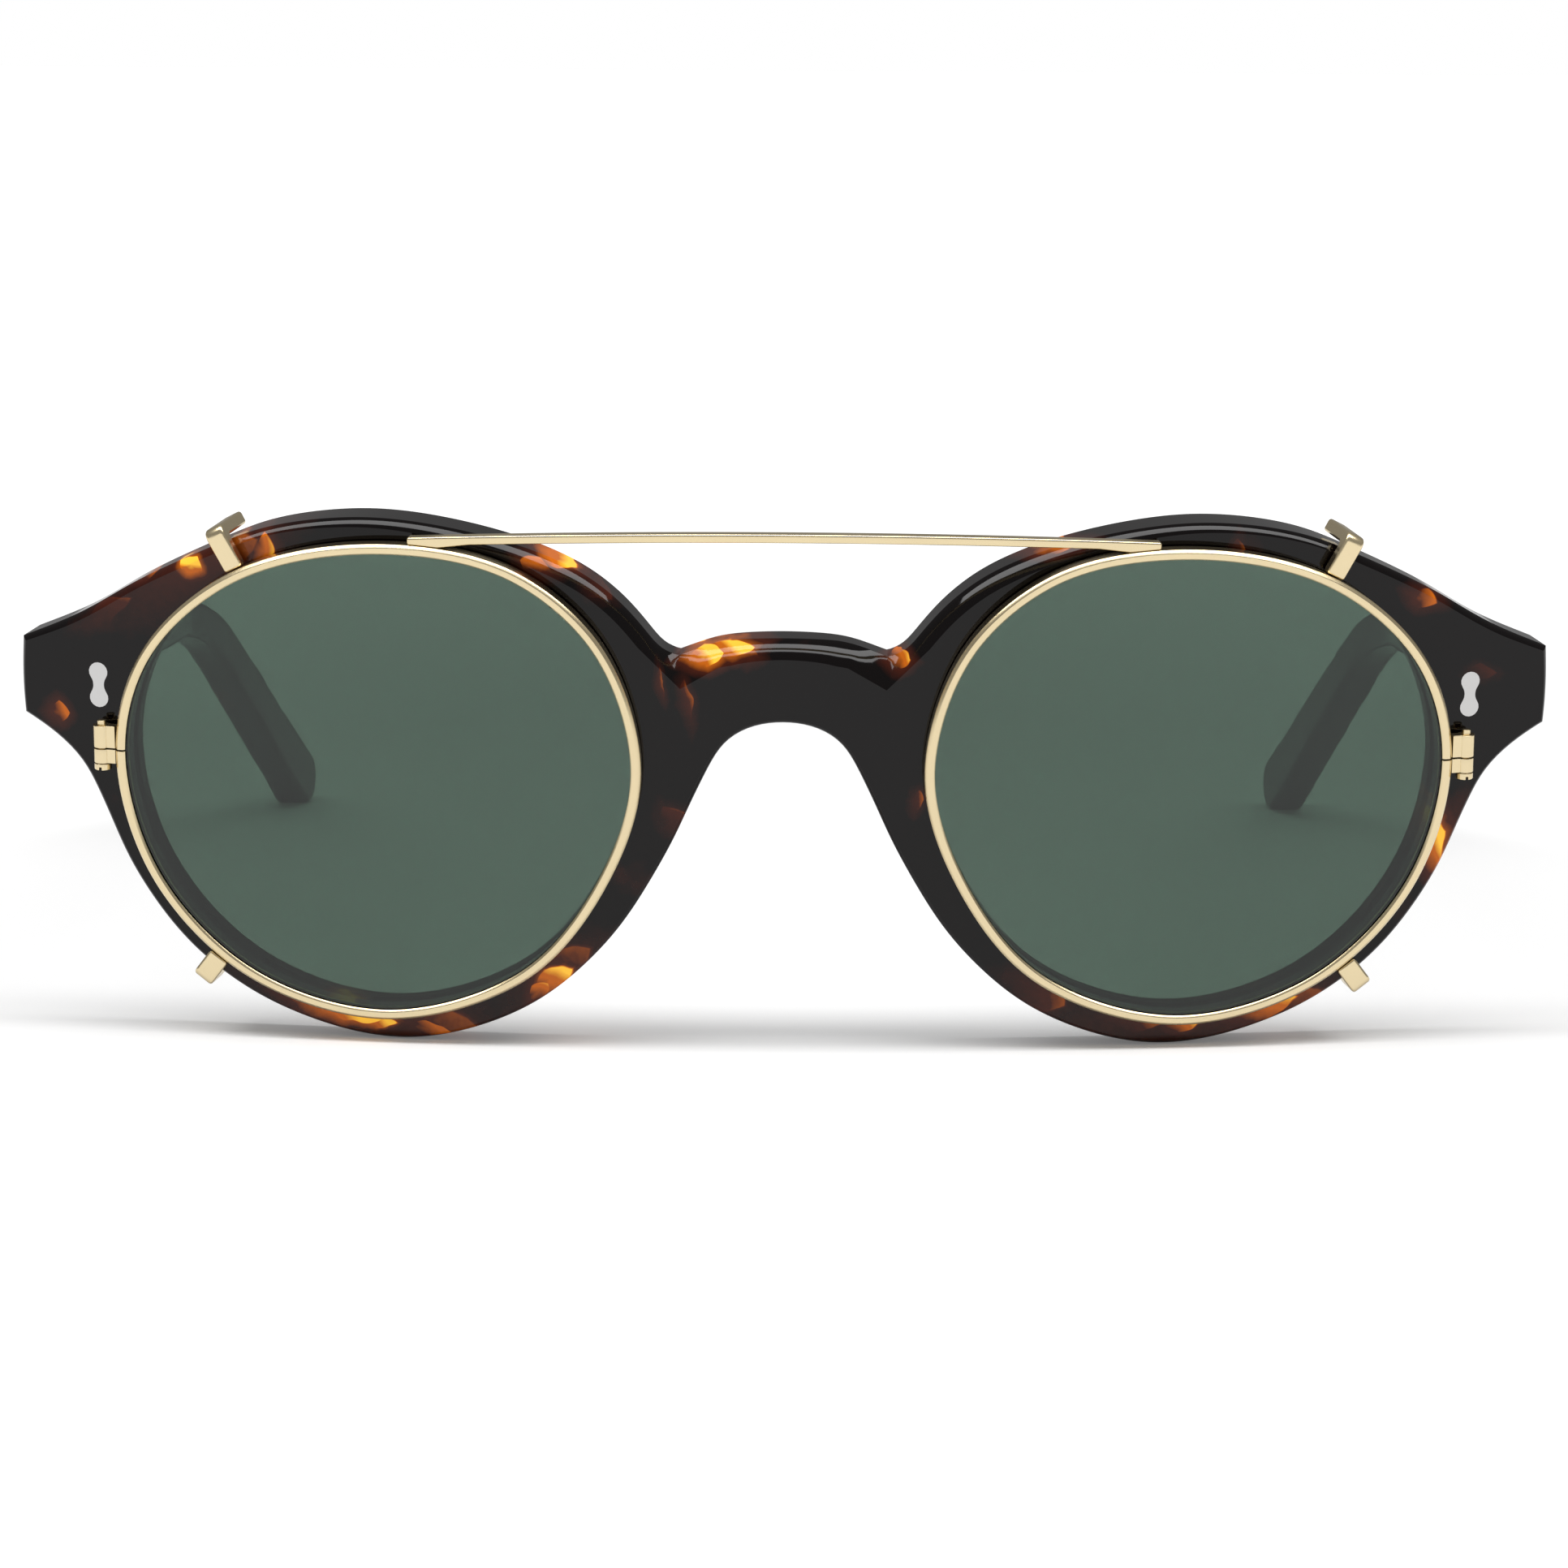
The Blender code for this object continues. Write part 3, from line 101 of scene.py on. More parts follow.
def merged_copy(node, name):
    """A copy of a CAD node's mesh with its loose triangles joined, as a new piece."""
    source = frame["nodes"][node]
    mesh = source.data.copy()
    mesh.materials.clear()
    piece = bpy.data.objects.new(name, mesh)
    bpy.context.scene.collection.objects.link(piece)
    mesh_builder = bmesh.new()
    mesh_builder.from_mesh(mesh)
    bmesh.ops.remove_doubles(mesh_builder, verts=mesh_builder.verts, dist=WELD)
    mesh_builder.to_mesh(mesh)
    mesh_builder.free()
    return piece


def only(piece):
    """Makes a piece the one selected and active object."""
    for other in bpy.context.scene.objects:
        other.select_set(False)
    piece.select_set(True)
    bpy.context.view_layer.objects.active = piece


def applied(piece, kind, **settings):
    """Adds a modifier to a piece and applies it."""
    only(piece)
    modifier = piece.modifiers.new(kind.lower(), kind)
    for name, value in settings.items():
        setattr(modifier, name, value)
    bpy.ops.object.modifier_apply(modifier=modifier.name)
    return piece


def edited(piece, *steps):
    """Runs edit-mode operators on the whole of a piece."""
    only(piece)
    bpy.ops.object.mode_set(mode="EDIT")
    bpy.ops.mesh.select_all(action="SELECT")
    for operator, settings in steps:
        operator(**settings)
    bpy.ops.object.mode_set(mode="OBJECT")
    return piece


def shaded(piece):
    """Shades a piece smoothly, with its sharp edges kept and its flats kept flat."""
    only(piece)
    bpy.ops.object.shade_smooth_by_angle(angle=SHADED_ANGLE)
    return applied(piece, "WEIGHTED_NORMAL", weight=FLATNESS_WEIGHT, keep_sharp=True)


upright = Matrix.Rotation(-FRONT_LEAN, 3, "X")
wrap_centre = min((upright @ vertex.co).y + math.sqrt(WRAP_RADIUS**2 - vertex.co.x**2)
                  for vertex in frame["nodes"]["frame_front"].data.vertices)


def flattened(place):
    """(across, up, depth) on the flat sheet of a place on the bent front."""
    point = upright @ place
    reach = wrap_centre - point.y
    across = WRAP_RADIUS * math.atan2(point.x, reach)
    return Vector((across, point.z, WRAP_RADIUS - math.hypot(point.x, reach)))


def bent(flat):
    """The place on the bent front of (across, up, depth) on the flat sheet."""
    angle = flat[0] / WRAP_RADIUS
    radius = WRAP_RADIUS - flat[2]
    point = Vector((radius * math.sin(angle), wrap_centre - radius * math.cos(angle), flat[1]))
    return upright.transposed() @ point


def chained(edges):
    """Closed loops of points from edges given as pairs of vertices."""
    following = {}
    for a, b in edges:
        following.setdefault(a, []).append(b)
        following.setdefault(b, []).append(a)
    loops = []
    while following:
        start = next(iter(following))
        loop = [start]
        while True:
            ahead = [vertex for vertex in following.get(loop[-1], [])
                     if vertex in following and vertex not in loop[-2:]]
            following.pop(loop[-1])
            if not ahead:
                break
            loop.append(ahead[0])
        loops.append(loop)
    return loops


def outlines(node, depth):
    """The closed outlines of a node's flat faces at a depth, longest first, on the flat sheet."""
    mesh_builder = bmesh.new()
    mesh_builder.from_mesh(frame["nodes"][node].data)
    bmesh.ops.remove_doubles(mesh_builder, verts=mesh_builder.verts, dist=WELD)
    for vertex in mesh_builder.verts:
        vertex.co = flattened(vertex.co)
    level = {face for face in mesh_builder.faces
             if all(abs(vertex.co.z - depth) < LEVEL_WITHIN for vertex in face.verts)}
    rim = [edge for edge in mesh_builder.edges
           if len([face for face in edge.link_faces if face in level]) == 1]
    loops = [[Vector((vertex.co.x, vertex.co.y)) for vertex in loop]
             for loop in chained([tuple(edge.verts) for edge in rim])]
    mesh_builder.free()
    loops = [counter_clockwise(without_straights(loop)) for loop in loops]
    return sorted(loops, key=lambda loop: -perimeter(loop))


def perimeter(loop):
    """The length of a closed loop."""
    return sum((a - b).length for a, b in zip(loop, loop[1:] + loop[:1]))


def counter_clockwise(loop):
    """The loop, turned round if it runs clockwise."""
    turns = sum(a.x * b.y - b.x * a.y for a, b in zip(loop, loop[1:] + loop[:1]))
    return loop if turns > 0 else loop[::-1]


def turn_at(before, point, after):
    """How far a loop turns at a point, positive to the left."""
    arriving = point - before
    leaving = after - point
    return math.atan2(arriving.x * leaving.y - arriving.y * leaving.x, arriving.dot(leaving))


def without_straights(loop):
    """The loop without the points that lie on a straight line between their neighbours."""
    kept = []
    for index, point in enumerate(loop):
        before = kept[-1] if kept else loop[index - 1]
        if abs(turn_at(before, point, loop[(index + 1) % len(loop)])) > STRAIGHT_ANGLE:
            kept.append(point)
    return kept


def smoothed(loop, step=OUTLINE_STEP):
    """The loop as a fine smooth curve through its points, with its sharp corners kept."""
    count = len(loop)
    sharp = [abs(turn_at(loop[index - 1], loop[index], loop[(index + 1) % count])) > CORNER_ANGLE
             for index in range(count)]
    fine = []
    for index in range(count):
        start = loop[index]
        end = loop[(index + 1) % count]
        before = 2 * start - end if sharp[index] else loop[index - 1]
        after = 2 * end - start if sharp[(index + 1) % count] else loop[(index + 2) % count]
        gap_in = math.sqrt((start - before).length)
        gap = math.sqrt((end - start).length)
        gap_out = math.sqrt((after - end).length)
        leave = ((start - before) / gap_in - (end - before) / (gap_in + gap) + (end - start) / gap) * gap
        arrive = ((end - start) / gap - (after - start) / (gap + gap_out) + (after - end) / gap_out) * gap
        steps = max(1, round((end - start).length / step))
        for number in range(steps):
            t = number / steps
            fine.append((2 * t**3 - 3 * t**2 + 1) * start + (t**3 - 2 * t**2 + t) * leave
                        + (3 * t**2 - 2 * t**3) * end + (t**3 - t**2) * arrive)
    return fine


def relaxed(loop, passes=8):
    """The fine loop with its small unevenness rubbed out, and its sharp corners left alone."""
    count = len(loop)
    still = {index + step for index in range(count) for step in (-1, 0, 1)
             if abs(turn_at(loop[index - 1], loop[index], loop[(index + 1) % count])) > CORNER_ANGLE}
    for _ in range(passes):
        loop = [point if index in still else (loop[index - 1] + 2 * point + loop[(index + 1) % count]) / 4
                for index, point in enumerate(loop)]
    return loop


def outward(loop):
    """How each point of a counter-clockwise loop moves when its sides move out by one."""
    moves = []
    for before, point, after in zip(loop[-1:] + loop[:-1], loop, loop[1:] + loop[:1]):
        normal = (point - before).normalized() + (after - point).normalized()
        half_turn = min(abs(turn_at(before, point, after)) / 2, WIDEST_MITRE)
        moves.append(Vector((normal.y, -normal.x)).normalized() / math.cos(half_turn))
    return moves


def ring(loop, growth, depth):
    """The loop grown outwards at a depth, each given as one number or as a list with one a point."""
    growths = growth if isinstance(growth, list) else [growth] * len(loop)
    depths = depth if isinstance(depth, list) else [depth] * len(loop)
    return [(*(point + move * more), deep)
            for point, move, more, deep in zip(loop, outward(loop), growths, depths)]


def evened(values, reach=6):
    """Values round a loop, each averaged with its neighbours."""
    count = len(values)
    spread = range(-reach, reach + 1)
    return [sum(values[(index + step) % count] for step in spread) / len(spread) for index in range(count)]


def creased(outline, inner, deepest):
    """The facet's inner edge with a sharp corner under each valley, and straight up to it."""
    count = len(outline)
    for side in SIDES.values():
        top = max(point.y for point in outline)
        upper_half = [index for index in range(count) if outline[index].y > top / 2]
        lowest = min(upper_half, key=lambda index: abs(outline[index].x - side * VALLEY_ACROSS))
        ends = []
        for step in (-1, 1):
            index = lowest
            while (outline[index] - outline[lowest]).length < VALLEY_REACH:
                index = (index + step) % count
            ends.append(index)
        turn = (lowest - ends[0]) % count
        span = (ends[1] - ends[0]) % count
        start, middle, end = (Vector(place[:2])
                              for place in (inner[ends[0]], deepest[lowest], inner[ends[1]]))
        for number in range(1, span):
            place = (start.lerp(middle, number / turn) if number < turn
                     else middle.lerp(end, (number - turn) / (span - turn)))
            inner[(ends[0] + number) % count] = (place.x, place.y, 0)
    return inner


def bulged(inner, outer):
    """Rings from the facet's inner edge to its outer edge, standing proud between them."""
    rings = []
    for number in range(FACET_LEVELS + 1):
        share = number / FACET_LEVELS
        level = []
        for start, end in zip(inner, outer):
            across = Vector(end) - Vector(start)
            reach = math.hypot(across.x, across.y)
            away = min(1.0, abs(abs(end[0]) - VALLEY_ACROSS) / VALLEY_REACH)
            proud = 4 * share * (1 - share) * (CREASE_BULGE + away * (FACET_BULGE - CREASE_BULGE))
            lift = Vector((across.x / reach * across.z, across.y / reach * across.z, -reach))
            level.append((Vector(start) + across * share + lift * proud)[:])
        rings.append(level)
    return rings


def walled_sheet(name, walls, floors=()):
    """A closed sheet whose walls are rings from its front face to its back face.

    Floors are walls of shallow recesses in the front face, closed at their own last ring.
    """
    points = []
    quads = []
    front_rings = []
    back_rings = []
    floor_rings = []
    for rings in list(walls) + list(floors):
        first = len(points)
        count = len(rings[0])
        for level, places in enumerate(rings):
            points.extend(places)
            if level == 0:
                continue
            row = first + level * count
            for index in range(count):
                following = (index + 1) % count
                quads.append((row + index, row + following, row - count + following, row - count + index))
        front_rings += range(first, first + count)
        last_ring = range(len(points) - count, len(points))
        if rings in walls:
            back_rings += last_ring
        else:
            floor_rings.append(list(last_ring))
    mesh = bpy.data.meshes.new(name)
    mesh.from_pydata(points, [], quads)
    piece = bpy.data.objects.new(name, mesh)
    bpy.context.scene.collection.objects.link(piece)
    for chosen in [front_rings, back_rings] + floor_rings:
        fill(piece, set(chosen))
    return edited(piece, (bpy.ops.mesh.normals_make_consistent, {"inside": False}))


def fill(piece, chosen):
    """Fills the flat area between the open loops of the chosen vertices with triangles."""
    only(piece)
    bpy.ops.object.mode_set(mode="EDIT")
    bpy.ops.mesh.select_mode(type="EDGE")
    bpy.ops.mesh.select_all(action="DESELECT")
    bpy.ops.object.mode_set(mode="OBJECT")
    open_edges = {key for key, uses in edge_uses(piece.data).items() if uses == 1}
    for edge in piece.data.edges:
        edge.select = set(edge.vertices) <= chosen and edge.key in open_edges
    bpy.ops.object.mode_set(mode="EDIT")
    bpy.ops.mesh.fill(use_beauty=True)
    bpy.ops.object.mode_set(mode="OBJECT")


def edge_uses(mesh):
    """How many faces use each edge of a mesh."""
    uses = {}
    for polygon in mesh.polygons:
        for key in polygon.edge_keys:
            uses[key] = uses.get(key, 0) + 1
    return uses


def on_a_cut(edge):
    """Whether an edge of a flat piece runs along one of the cuts between its strips."""
    strips = [vertex.co.x / BEND_STEP for vertex in edge.verts]
    return (abs(strips[0] - strips[1]) < ON_A_CUT_WITHIN
            and abs(strips[0] - round(strips[0])) < ON_A_CUT_WITHIN)


def is_broad(face):
    """Whether a face of a flat piece lies in its front or back."""
    return abs(face.normal.z) > BROAD_FACE


def bent_into_place(piece):
    """Cuts a flat piece's broad faces into narrow strips and bends it round with the front."""
    low = min(vertex.co.x for vertex in piece.data.vertices)
    high = max(vertex.co.x for vertex in piece.data.vertices)
    mesh_builder = bmesh.new()
    mesh_builder.from_mesh(piece.data)
    for index in range(math.ceil(low / BEND_STEP), math.floor(high / BEND_STEP) + 1):
        broad = {face for face in mesh_builder.faces if is_broad(face)}
        edges = {edge for face in broad for edge in face.edges}
        corners = {vertex for face in broad for vertex in face.verts}
        bmesh.ops.bisect_plane(mesh_builder, geom=[*corners, *edges, *broad],
                               plane_co=(index * BEND_STEP, 0, 0), plane_no=(1, 0, 0))
    inside = [edge for edge in mesh_builder.edges
              if len(edge.link_faces) == 2 and all(is_broad(face) for face in edge.link_faces)
              and not on_a_cut(edge)]
    bmesh.ops.dissolve_edges(mesh_builder, edges=inside, use_verts=False, use_face_split=False)
    mesh_builder.to_mesh(piece.data)
    mesh_builder.free()
    for vertex in piece.data.vertices:
        vertex.co = bent(vertex.co)
    return edited(piece, (bpy.ops.mesh.normals_make_consistent, {"inside": False}))


def distance_to(loop, point):
    """The shortest distance from a point to a closed loop."""
    nearest = math.inf
    for a, b in zip(loop, loop[1:] + loop[:1]):
        along = b - a
        share = min(1.0, max(0.0, (point - a).dot(along) / along.length_squared))
        nearest = min(nearest, (a + along * share - point).length)
    return nearest


thickness = max(flattened(vertex.co).z for vertex in frame["nodes"]["frame_front"].data.vertices)
face_loops = outlines("frame_front", 0)
back_loops = outlines("frame_front", thickness)
outline = relaxed(smoothed(back_loops[0]))
# The face's loops are, longest first, its outline, the lens openings and the rivet seats.
openings = [relaxed(smoothed(loop)) for loop in face_loops[1:3]]
seats = [smoothed(loop, SEAT_STEP) for loop in face_loops[3:5]]
inner_edge = relaxed(smoothed(face_loops[0]))
widths = [max(FACET_NARROWEST, distance_to(inner_edge, point)) for point in outline]
facet = evened([min(width, FACET_WIDEST) if abs(point.x) > VALLEY_ACROSS else width
                for width, point in zip(widths, outline)])
facet_inside = creased(outline, ring(outline, [-width for width in facet], 0),
                       ring(outline, [-width for width in widths], 0))
outer_wall = [*bulged(facet_inside, ring(outline, 0, [width * FACET_SLOPE for width in facet])),
              ring(outline, 0, thickness - POLISH),
              ring(outline, -POLISH, thickness)]
opening_walls = [[ring(loop, 0, 0), ring(loop, 0, GROOVE_FRONT), ring(loop, GROOVE_DEEP, GROOVE_FRONT),
                  ring(loop, GROOVE_DEEP, GROOVE_BACK), ring(loop, 0, GROOVE_BACK),
                  ring(loop, 0, thickness)] for loop in openings]
seat_walls = [[ring(loop, -SEAT_CLOSER, 0), ring(loop, -SEAT_CLOSER, SEAT_DEPTH)] for loop in seats]
front = walled_sheet("acetate_front", [outer_wall] + opening_walls, seat_walls)
applied(front, "BEVEL", width=POLISH, segments=3, limit_method="ANGLE", angle_limit=POLISHED_ANGLE)
bent_into_place(front)
shaded(front)
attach(front, "frame")
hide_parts("frame_front")


class Wire:
    """A socket in a node tree: sums on wires and numbers add Math nodes."""

    def __init__(self, tree, socket=None):
        self.tree = tree
        self.socket = socket

    def node(self, kind, settings=(), sockets=(), output=0):
        """Adds a node: its settings first, then the values or wires of its sockets."""
        added = self.tree.nodes.new("ShaderNode" + kind)
        for name, value in dict(settings).items():
            setattr(added, name, value)
        for name, value in dict(sockets).items():
            if isinstance(value, Wire):
                self.tree.links.new(value.socket, added.inputs[name])
            else:
                added.inputs[name].default_value = value
        return Wire(self.tree, added.outputs[output])

    def maths(self, operation, first, second=0.0, clamp=False):
        """Adds a Math node on two wires or numbers."""
        return self.node("Math", {"operation": operation, "use_clamp": clamp}, {0: first, 1: second})

    def __add__(self, other):
        return self.maths("ADD", self, other)

    __radd__ = __add__

    def __mul__(self, other):
        return self.maths("MULTIPLY", self, other)

    __rmul__ = __mul__

    def __sub__(self, other):
        return self.maths("SUBTRACT", self, other)

    def __rsub__(self, other):
        return self.maths("SUBTRACT", other, self)

    def clamped(self):
        """This wire kept between 0 and 1."""
        return self.maths("ADD", self, 0.0, clamp=True)

    def risen(self, start, slope):
        """How far this wire has risen past a level, from 0 to 1."""
        return ((self - start) * slope).clamped()

    def mixed(self, colour_a, colour_b):
        """A colour between two, by this wire."""
        sockets = {0: self, 6: colour_a, 7: colour_b}
        return self.node("Mix", {"data_type": "RGBA"}, sockets, output=2)


def new_surface(name):
    """A material, its Principled node and a wire to build on."""
    material = bpy.data.materials.new(name)
    material.use_nodes = True
    return material, material.node_tree.nodes["Principled BSDF"], Wire(material.node_tree)


def plugged(surface, **wires):
    """Links wires and sets plain values on a Principled node; _ in a name stands for a space."""
    for name, value in wires.items():
        socket = surface.inputs[name.replace("_", " ")]
        if isinstance(value, Wire):
            value.tree.links.new(value.socket, socket)
        else:
            socket.default_value = value


# Amber blots in the acetate, in mm: across, up, half width, half height, turn in degrees, strength.
# A blot is brightest towards the side that its turn points to, and ends sharply there.
BLOTS = [
    (-55.5, 45.9, 1.0, 1.2, 62, 1.3),
    (-54.3, 46.6, 2.6, 1.2, 30, 0.42),
    (-48.7, 47.7, 1.1, 1.8, -15, 0.85),
    (-60.4, 44.6, 2.0, 0.9, 28, 0.55),
    (-55.5, 45.8, 7.5, 3.4, 26, 0.42),
    (-64.0, 41.0, 3.0, 1.2, 28, 0.36),
    (-21.3, 47.4, 2.4, 0.6, -30, 1.1),
    (-23.0, 46.6, 1.3, 1.7, 70, 0.6),
    (-17.5, 44.6, 2.0, 1.0, -40, 0.32),
    (-7.2, 38.1, 1.8, 1.1, 12, 1.35),
    (-5.0, 38.9, 2.3, 0.9, 8, 1.25),
    (-3.3, 38.4, 0.9, 1.2, 80, 0.6),
    (-9.0, 33.8, 0.6, 2.0, 8, 0.45),
    (-11.3, 35.6, 0.4, 1.6, 10, 0.45),
    (10.8, 37.9, 1.2, 1.0, 0, 0.85),
    (24.6, 48.6, 2.6, 0.8, 8, 0.75),
    (42.3, 47.9, 0.8, 1.4, 0, 0.42),
    (60.1, 43.4, 1.5, 1.0, -28, 0.6),
    (61.9, 20.2, 1.6, 3.4, 14, 1.2),
    (60.8, 23.6, 1.0, 2.0, 14, 0.6),
    (-42.0, 2.9, 4.2, 1.3, -12, 1.3),
    (-38.6, 1.8, 1.9, 0.9, -8, 1.05),
    (-33.8, 1.1, 2.2, 0.8, 0, 0.7),
    (-38.0, 3.0, 11.0, 3.0, -14, 0.42),
    (-21.6, 6.3, 2.4, 1.3, 36, 1.0),
    (-23.2, 5.1, 1.4, 0.9, 36, 0.75),
    (-21.5, 6.8, 4.6, 2.6, 40, 0.4),
    (46.0, 3.3, 3.4, 1.0, 16, 0.85),
    (38.2, 1.9, 1.7, 0.8, 0, 0.85),
    (33.5, 2.4, 3.0, 1.2, -8, 0.5),
    (24.5, 5.4, 3.0, 2.0, -30, 0.42),
    (42.0, 3.0, 14.0, 3.0, 6, 0.42),
    (12.5, 24.4, 0.7, 1.0, 0, 0.5),
    (-10.4, 22.4, 1.3, 1.6, 30, 0.36),
    (-9.4, 19.6, 0.8, 0.9, 0, 0.36),
    (-69.0, 31.0, 1.0, 1.1, 0, 0.7),
    (66.0, 36.0, 1.6, 1.0, 0, 0.3),
]
BLOT_DEPTH = 20 * MM
BLOT_MIDDLE_DEPTH = -67 * MM
BLOT_SQUARENESS = (0.8, 0.2, 0.8)
BRIGHT_SIDE = (0.5, 0, 0.2)
HEART_EDGE = 6.0
HEART_BASE = 0.62
HALO_REACH = 2.2
HALO_SLOPE = 0.3
SWIRL = 1.6 * MM
SWIRLS_A_METRE = 260.0
CLOUDS_A_METRE = 75.0
GRAIN = 0.08
GRAINS_A_METRE = 1300.0
POLISH_MARKS_A_METRE = 1500.0
# At what strength each colour starts in a blot, and how steeply it comes in.
RED_FROM = (0.06, 4.0)
AMBER_FROM = (0.34, 3.6)
HONEY_FROM = (0.72, 4.0)
CLOUDS_FROM = 0.60
FRONT_CLOUDS = 1.6
BROWN_BLACK = (0.0030, 0.0018, 0.0018, 1)
DEEP_RED = (0.060, 0.010, 0.004, 1)
AMBER = (0.56, 0.125, 0.004, 1)
HONEY = (0.93, 0.52, 0.05, 1)
# Painted glow: an emission colour in the amber blots that stands in for light shining through them from
# behind, so they glow even in shade.
WARM_PAINTED_GLOW = (0.09, 0.020, 0.001, 1)
BRIGHT_PAINTED_GLOW = (0.38, 0.19, 0.010, 1)


def tortoiseshell(name, blots, cloudiness):
    """Near-black acetate with red-brown and amber blots, clear and polished on top, and a painted glow in the
    blots.
    """
    material, surface, wire = new_surface(name)
    place = wire.node("TexCoord", output="Object")
    swirl = wire.node("TexNoise", output="Color",
                      sockets={"Vector": place, "Scale": SWIRLS_A_METRE, "Detail": 2.0, "Roughness": 0.5})
    shift = wire.node("VectorMath", {"operation": "MULTIPLY_ADD"},
                      {0: swirl, 1: (SWIRL,) * 3, 2: (-SWIRL / 2,) * 3})
    warped = wire.node("VectorMath", {"operation": "ADD"}, {0: place, 1: shift})
    clouds = wire.node("TexNoise", sockets={
        "Vector": warped, "Scale": CLOUDS_A_METRE, "Detail": 3.0, "Roughness": 0.55})
    glow = clouds.risen(CLOUDS_FROM, cloudiness)
    for across, up, half_width, half_height, turn, strength in blots:
        local = wire.node("Mapping", {"vector_type": "TEXTURE"}, {
            "Vector": warped, "Location": (across * MM, BLOT_MIDDLE_DEPTH, up * MM),
            "Rotation": (0, -math.radians(turn), 0),
            "Scale": (half_width * MM, BLOT_DEPTH, half_height * MM)})
        apart = wire.node("VectorMath", {"operation": "ABSOLUTE"}, {0: local})
        round_distance = wire.node("VectorMath", {"operation": "LENGTH"}, {0: local}, output="Value")
        square_distance = wire.node("VectorMath", {"operation": "DOT_PRODUCT"},
                                    {0: apart, 1: BLOT_SQUARENESS}, output="Value")
        distance = (round_distance + square_distance) * 0.5
        lean = wire.node("VectorMath", {"operation": "DOT_PRODUCT"}, {0: local, 1: BRIGHT_SIDE},
                         output="Value")
        heart = ((1.0 - distance) * HEART_EDGE).clamped() * (lean + HEART_BASE)
        halo = ((HALO_REACH - distance) * HALO_SLOPE).clamped()
        blot = wire.maths("MAXIMUM", heart, halo) * strength
        glow = wire.maths("MAXIMUM", glow, blot)
    grain = wire.node("TexNoise", sockets={"Vector": place, "Scale": GRAINS_A_METRE, "Detail": 2.0})
    glow = (glow + (grain - 0.5) * GRAIN).clamped()
    dark = glow.risen(*RED_FROM)
    warm = glow.risen(*AMBER_FROM)
    bright = glow.risen(*HONEY_FROM)
    colour = dark.mixed(BROWN_BLACK, DEEP_RED)
    colour = warm.mixed(colour, AMBER)
    colour = bright.mixed(colour, HONEY)
    # Painted glow: the amber and honey blots emit light of their own, in place of light coming through the
    # acetate.
    painted_glow = bright.mixed(warm.mixed((0, 0, 0, 1), WARM_PAINTED_GLOW), BRIGHT_PAINTED_GLOW)
    marks = wire.node("TexNoise", sockets={"Vector": place, "Scale": POLISH_MARKS_A_METRE, "Detail": 2.0})
    plugged(surface, Base_Color=colour, Roughness=0.04 + marks * 0.04, IOR=1.5, Specular_IOR_Level=0.27,
            Emission_Color=painted_glow, Emission_Strength=1.0)
    material.cycles.emission_sampling = "NONE"
    return material


front_acetate = tortoiseshell("tortoiseshell_front", BLOTS, FRONT_CLOUDS)
front.data.materials.append(front_acetate)


# ---------------------------------------------------------------- clear lenses
# Two thin plastic lenses without power, tinted very faintly grey, with their edges in the
# groove of the front.

CLEAR_LENS_FRONT = 1.5 * MM
CLEAR_LENS_BACK = 3.1 * MM
CLEAR_TINT = (0.90, 0.92, 0.91)
DARKER_DYE = 0.97
DYE_CLOUDS_A_METRE = 25.0


def glass(name, tint):
    """See-through lens material whose dye is a little uneven."""
    material, surface, wire = new_surface(name)
    place = wire.node("TexCoord", output="Object")
    depth = wire.node("TexNoise", sockets={"Vector": place, "Scale": DYE_CLOUDS_A_METRE, "Detail": 1.0})
    darker = tuple(part * DARKER_DYE for part in tint)
    colour = depth.mixed((*darker, 1), (*tint, 1))
    plugged(surface, Base_Color=colour, Roughness=0.0, IOR=1.5, Transmission_Weight=1.0)
    return material


clear_plastic = glass("clear_plastic", CLEAR_TINT)
for name in SIDES:
    loop = smoothed(outlines(f"clear_lens_{name}", CLEAR_LENS_FRONT)[0])
    lens = walled_sheet(f"spectacle_lens_{name}",
                        [[ring(loop, 0, CLEAR_LENS_FRONT), ring(loop, 0, CLEAR_LENS_BACK)]])
    bent_into_place(lens)
    shaded(lens)
    lens.data.materials.append(clear_plastic)
    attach(lens, "frame")
    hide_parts(f"clear_lens_{name}")


# ---------------------------------------------------------------- nose pads
# Two small pads of the same acetate, glued behind the nose arch and filed round.

for name in SIDES:
    pad = merged_copy(f"nose_pad_{name}", f"acetate_nose_pad_{name}")
    applied(pad, "SUBSURF", levels=1, render_levels=1)
    shaded(pad)
    pad.data.materials.append(front_acetate)
    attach(pad, "frame")
    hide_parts(f"nose_pad_{name}")


# ---------------------------------------------------------------- rivets and hinges
# Nickel-silver rivets with a two-lobed head are set in the acetate from outside and hold
# the stamped hinge leaves inside.  A slotted screw is the hinge pin.

LEAF_EDGE = 0.12 * MM
FASTENER_EDGE = 0.06 * MM
BROKEN_ANGLE = math.radians(30)
FLAT_ANGLE = math.radians(0.3)
NICKEL_SILVER = (0.67, 0.665, 0.66)
WORN = 0.9
UNEVEN_SHEEN = 0.08
SHEEN_CLOUDS_A_METRE = 180.0
SCRATCH_DEPTH = 0.02 * MM
SCRATCH_SCALE = (600.0, 5200.0, 2600.0)


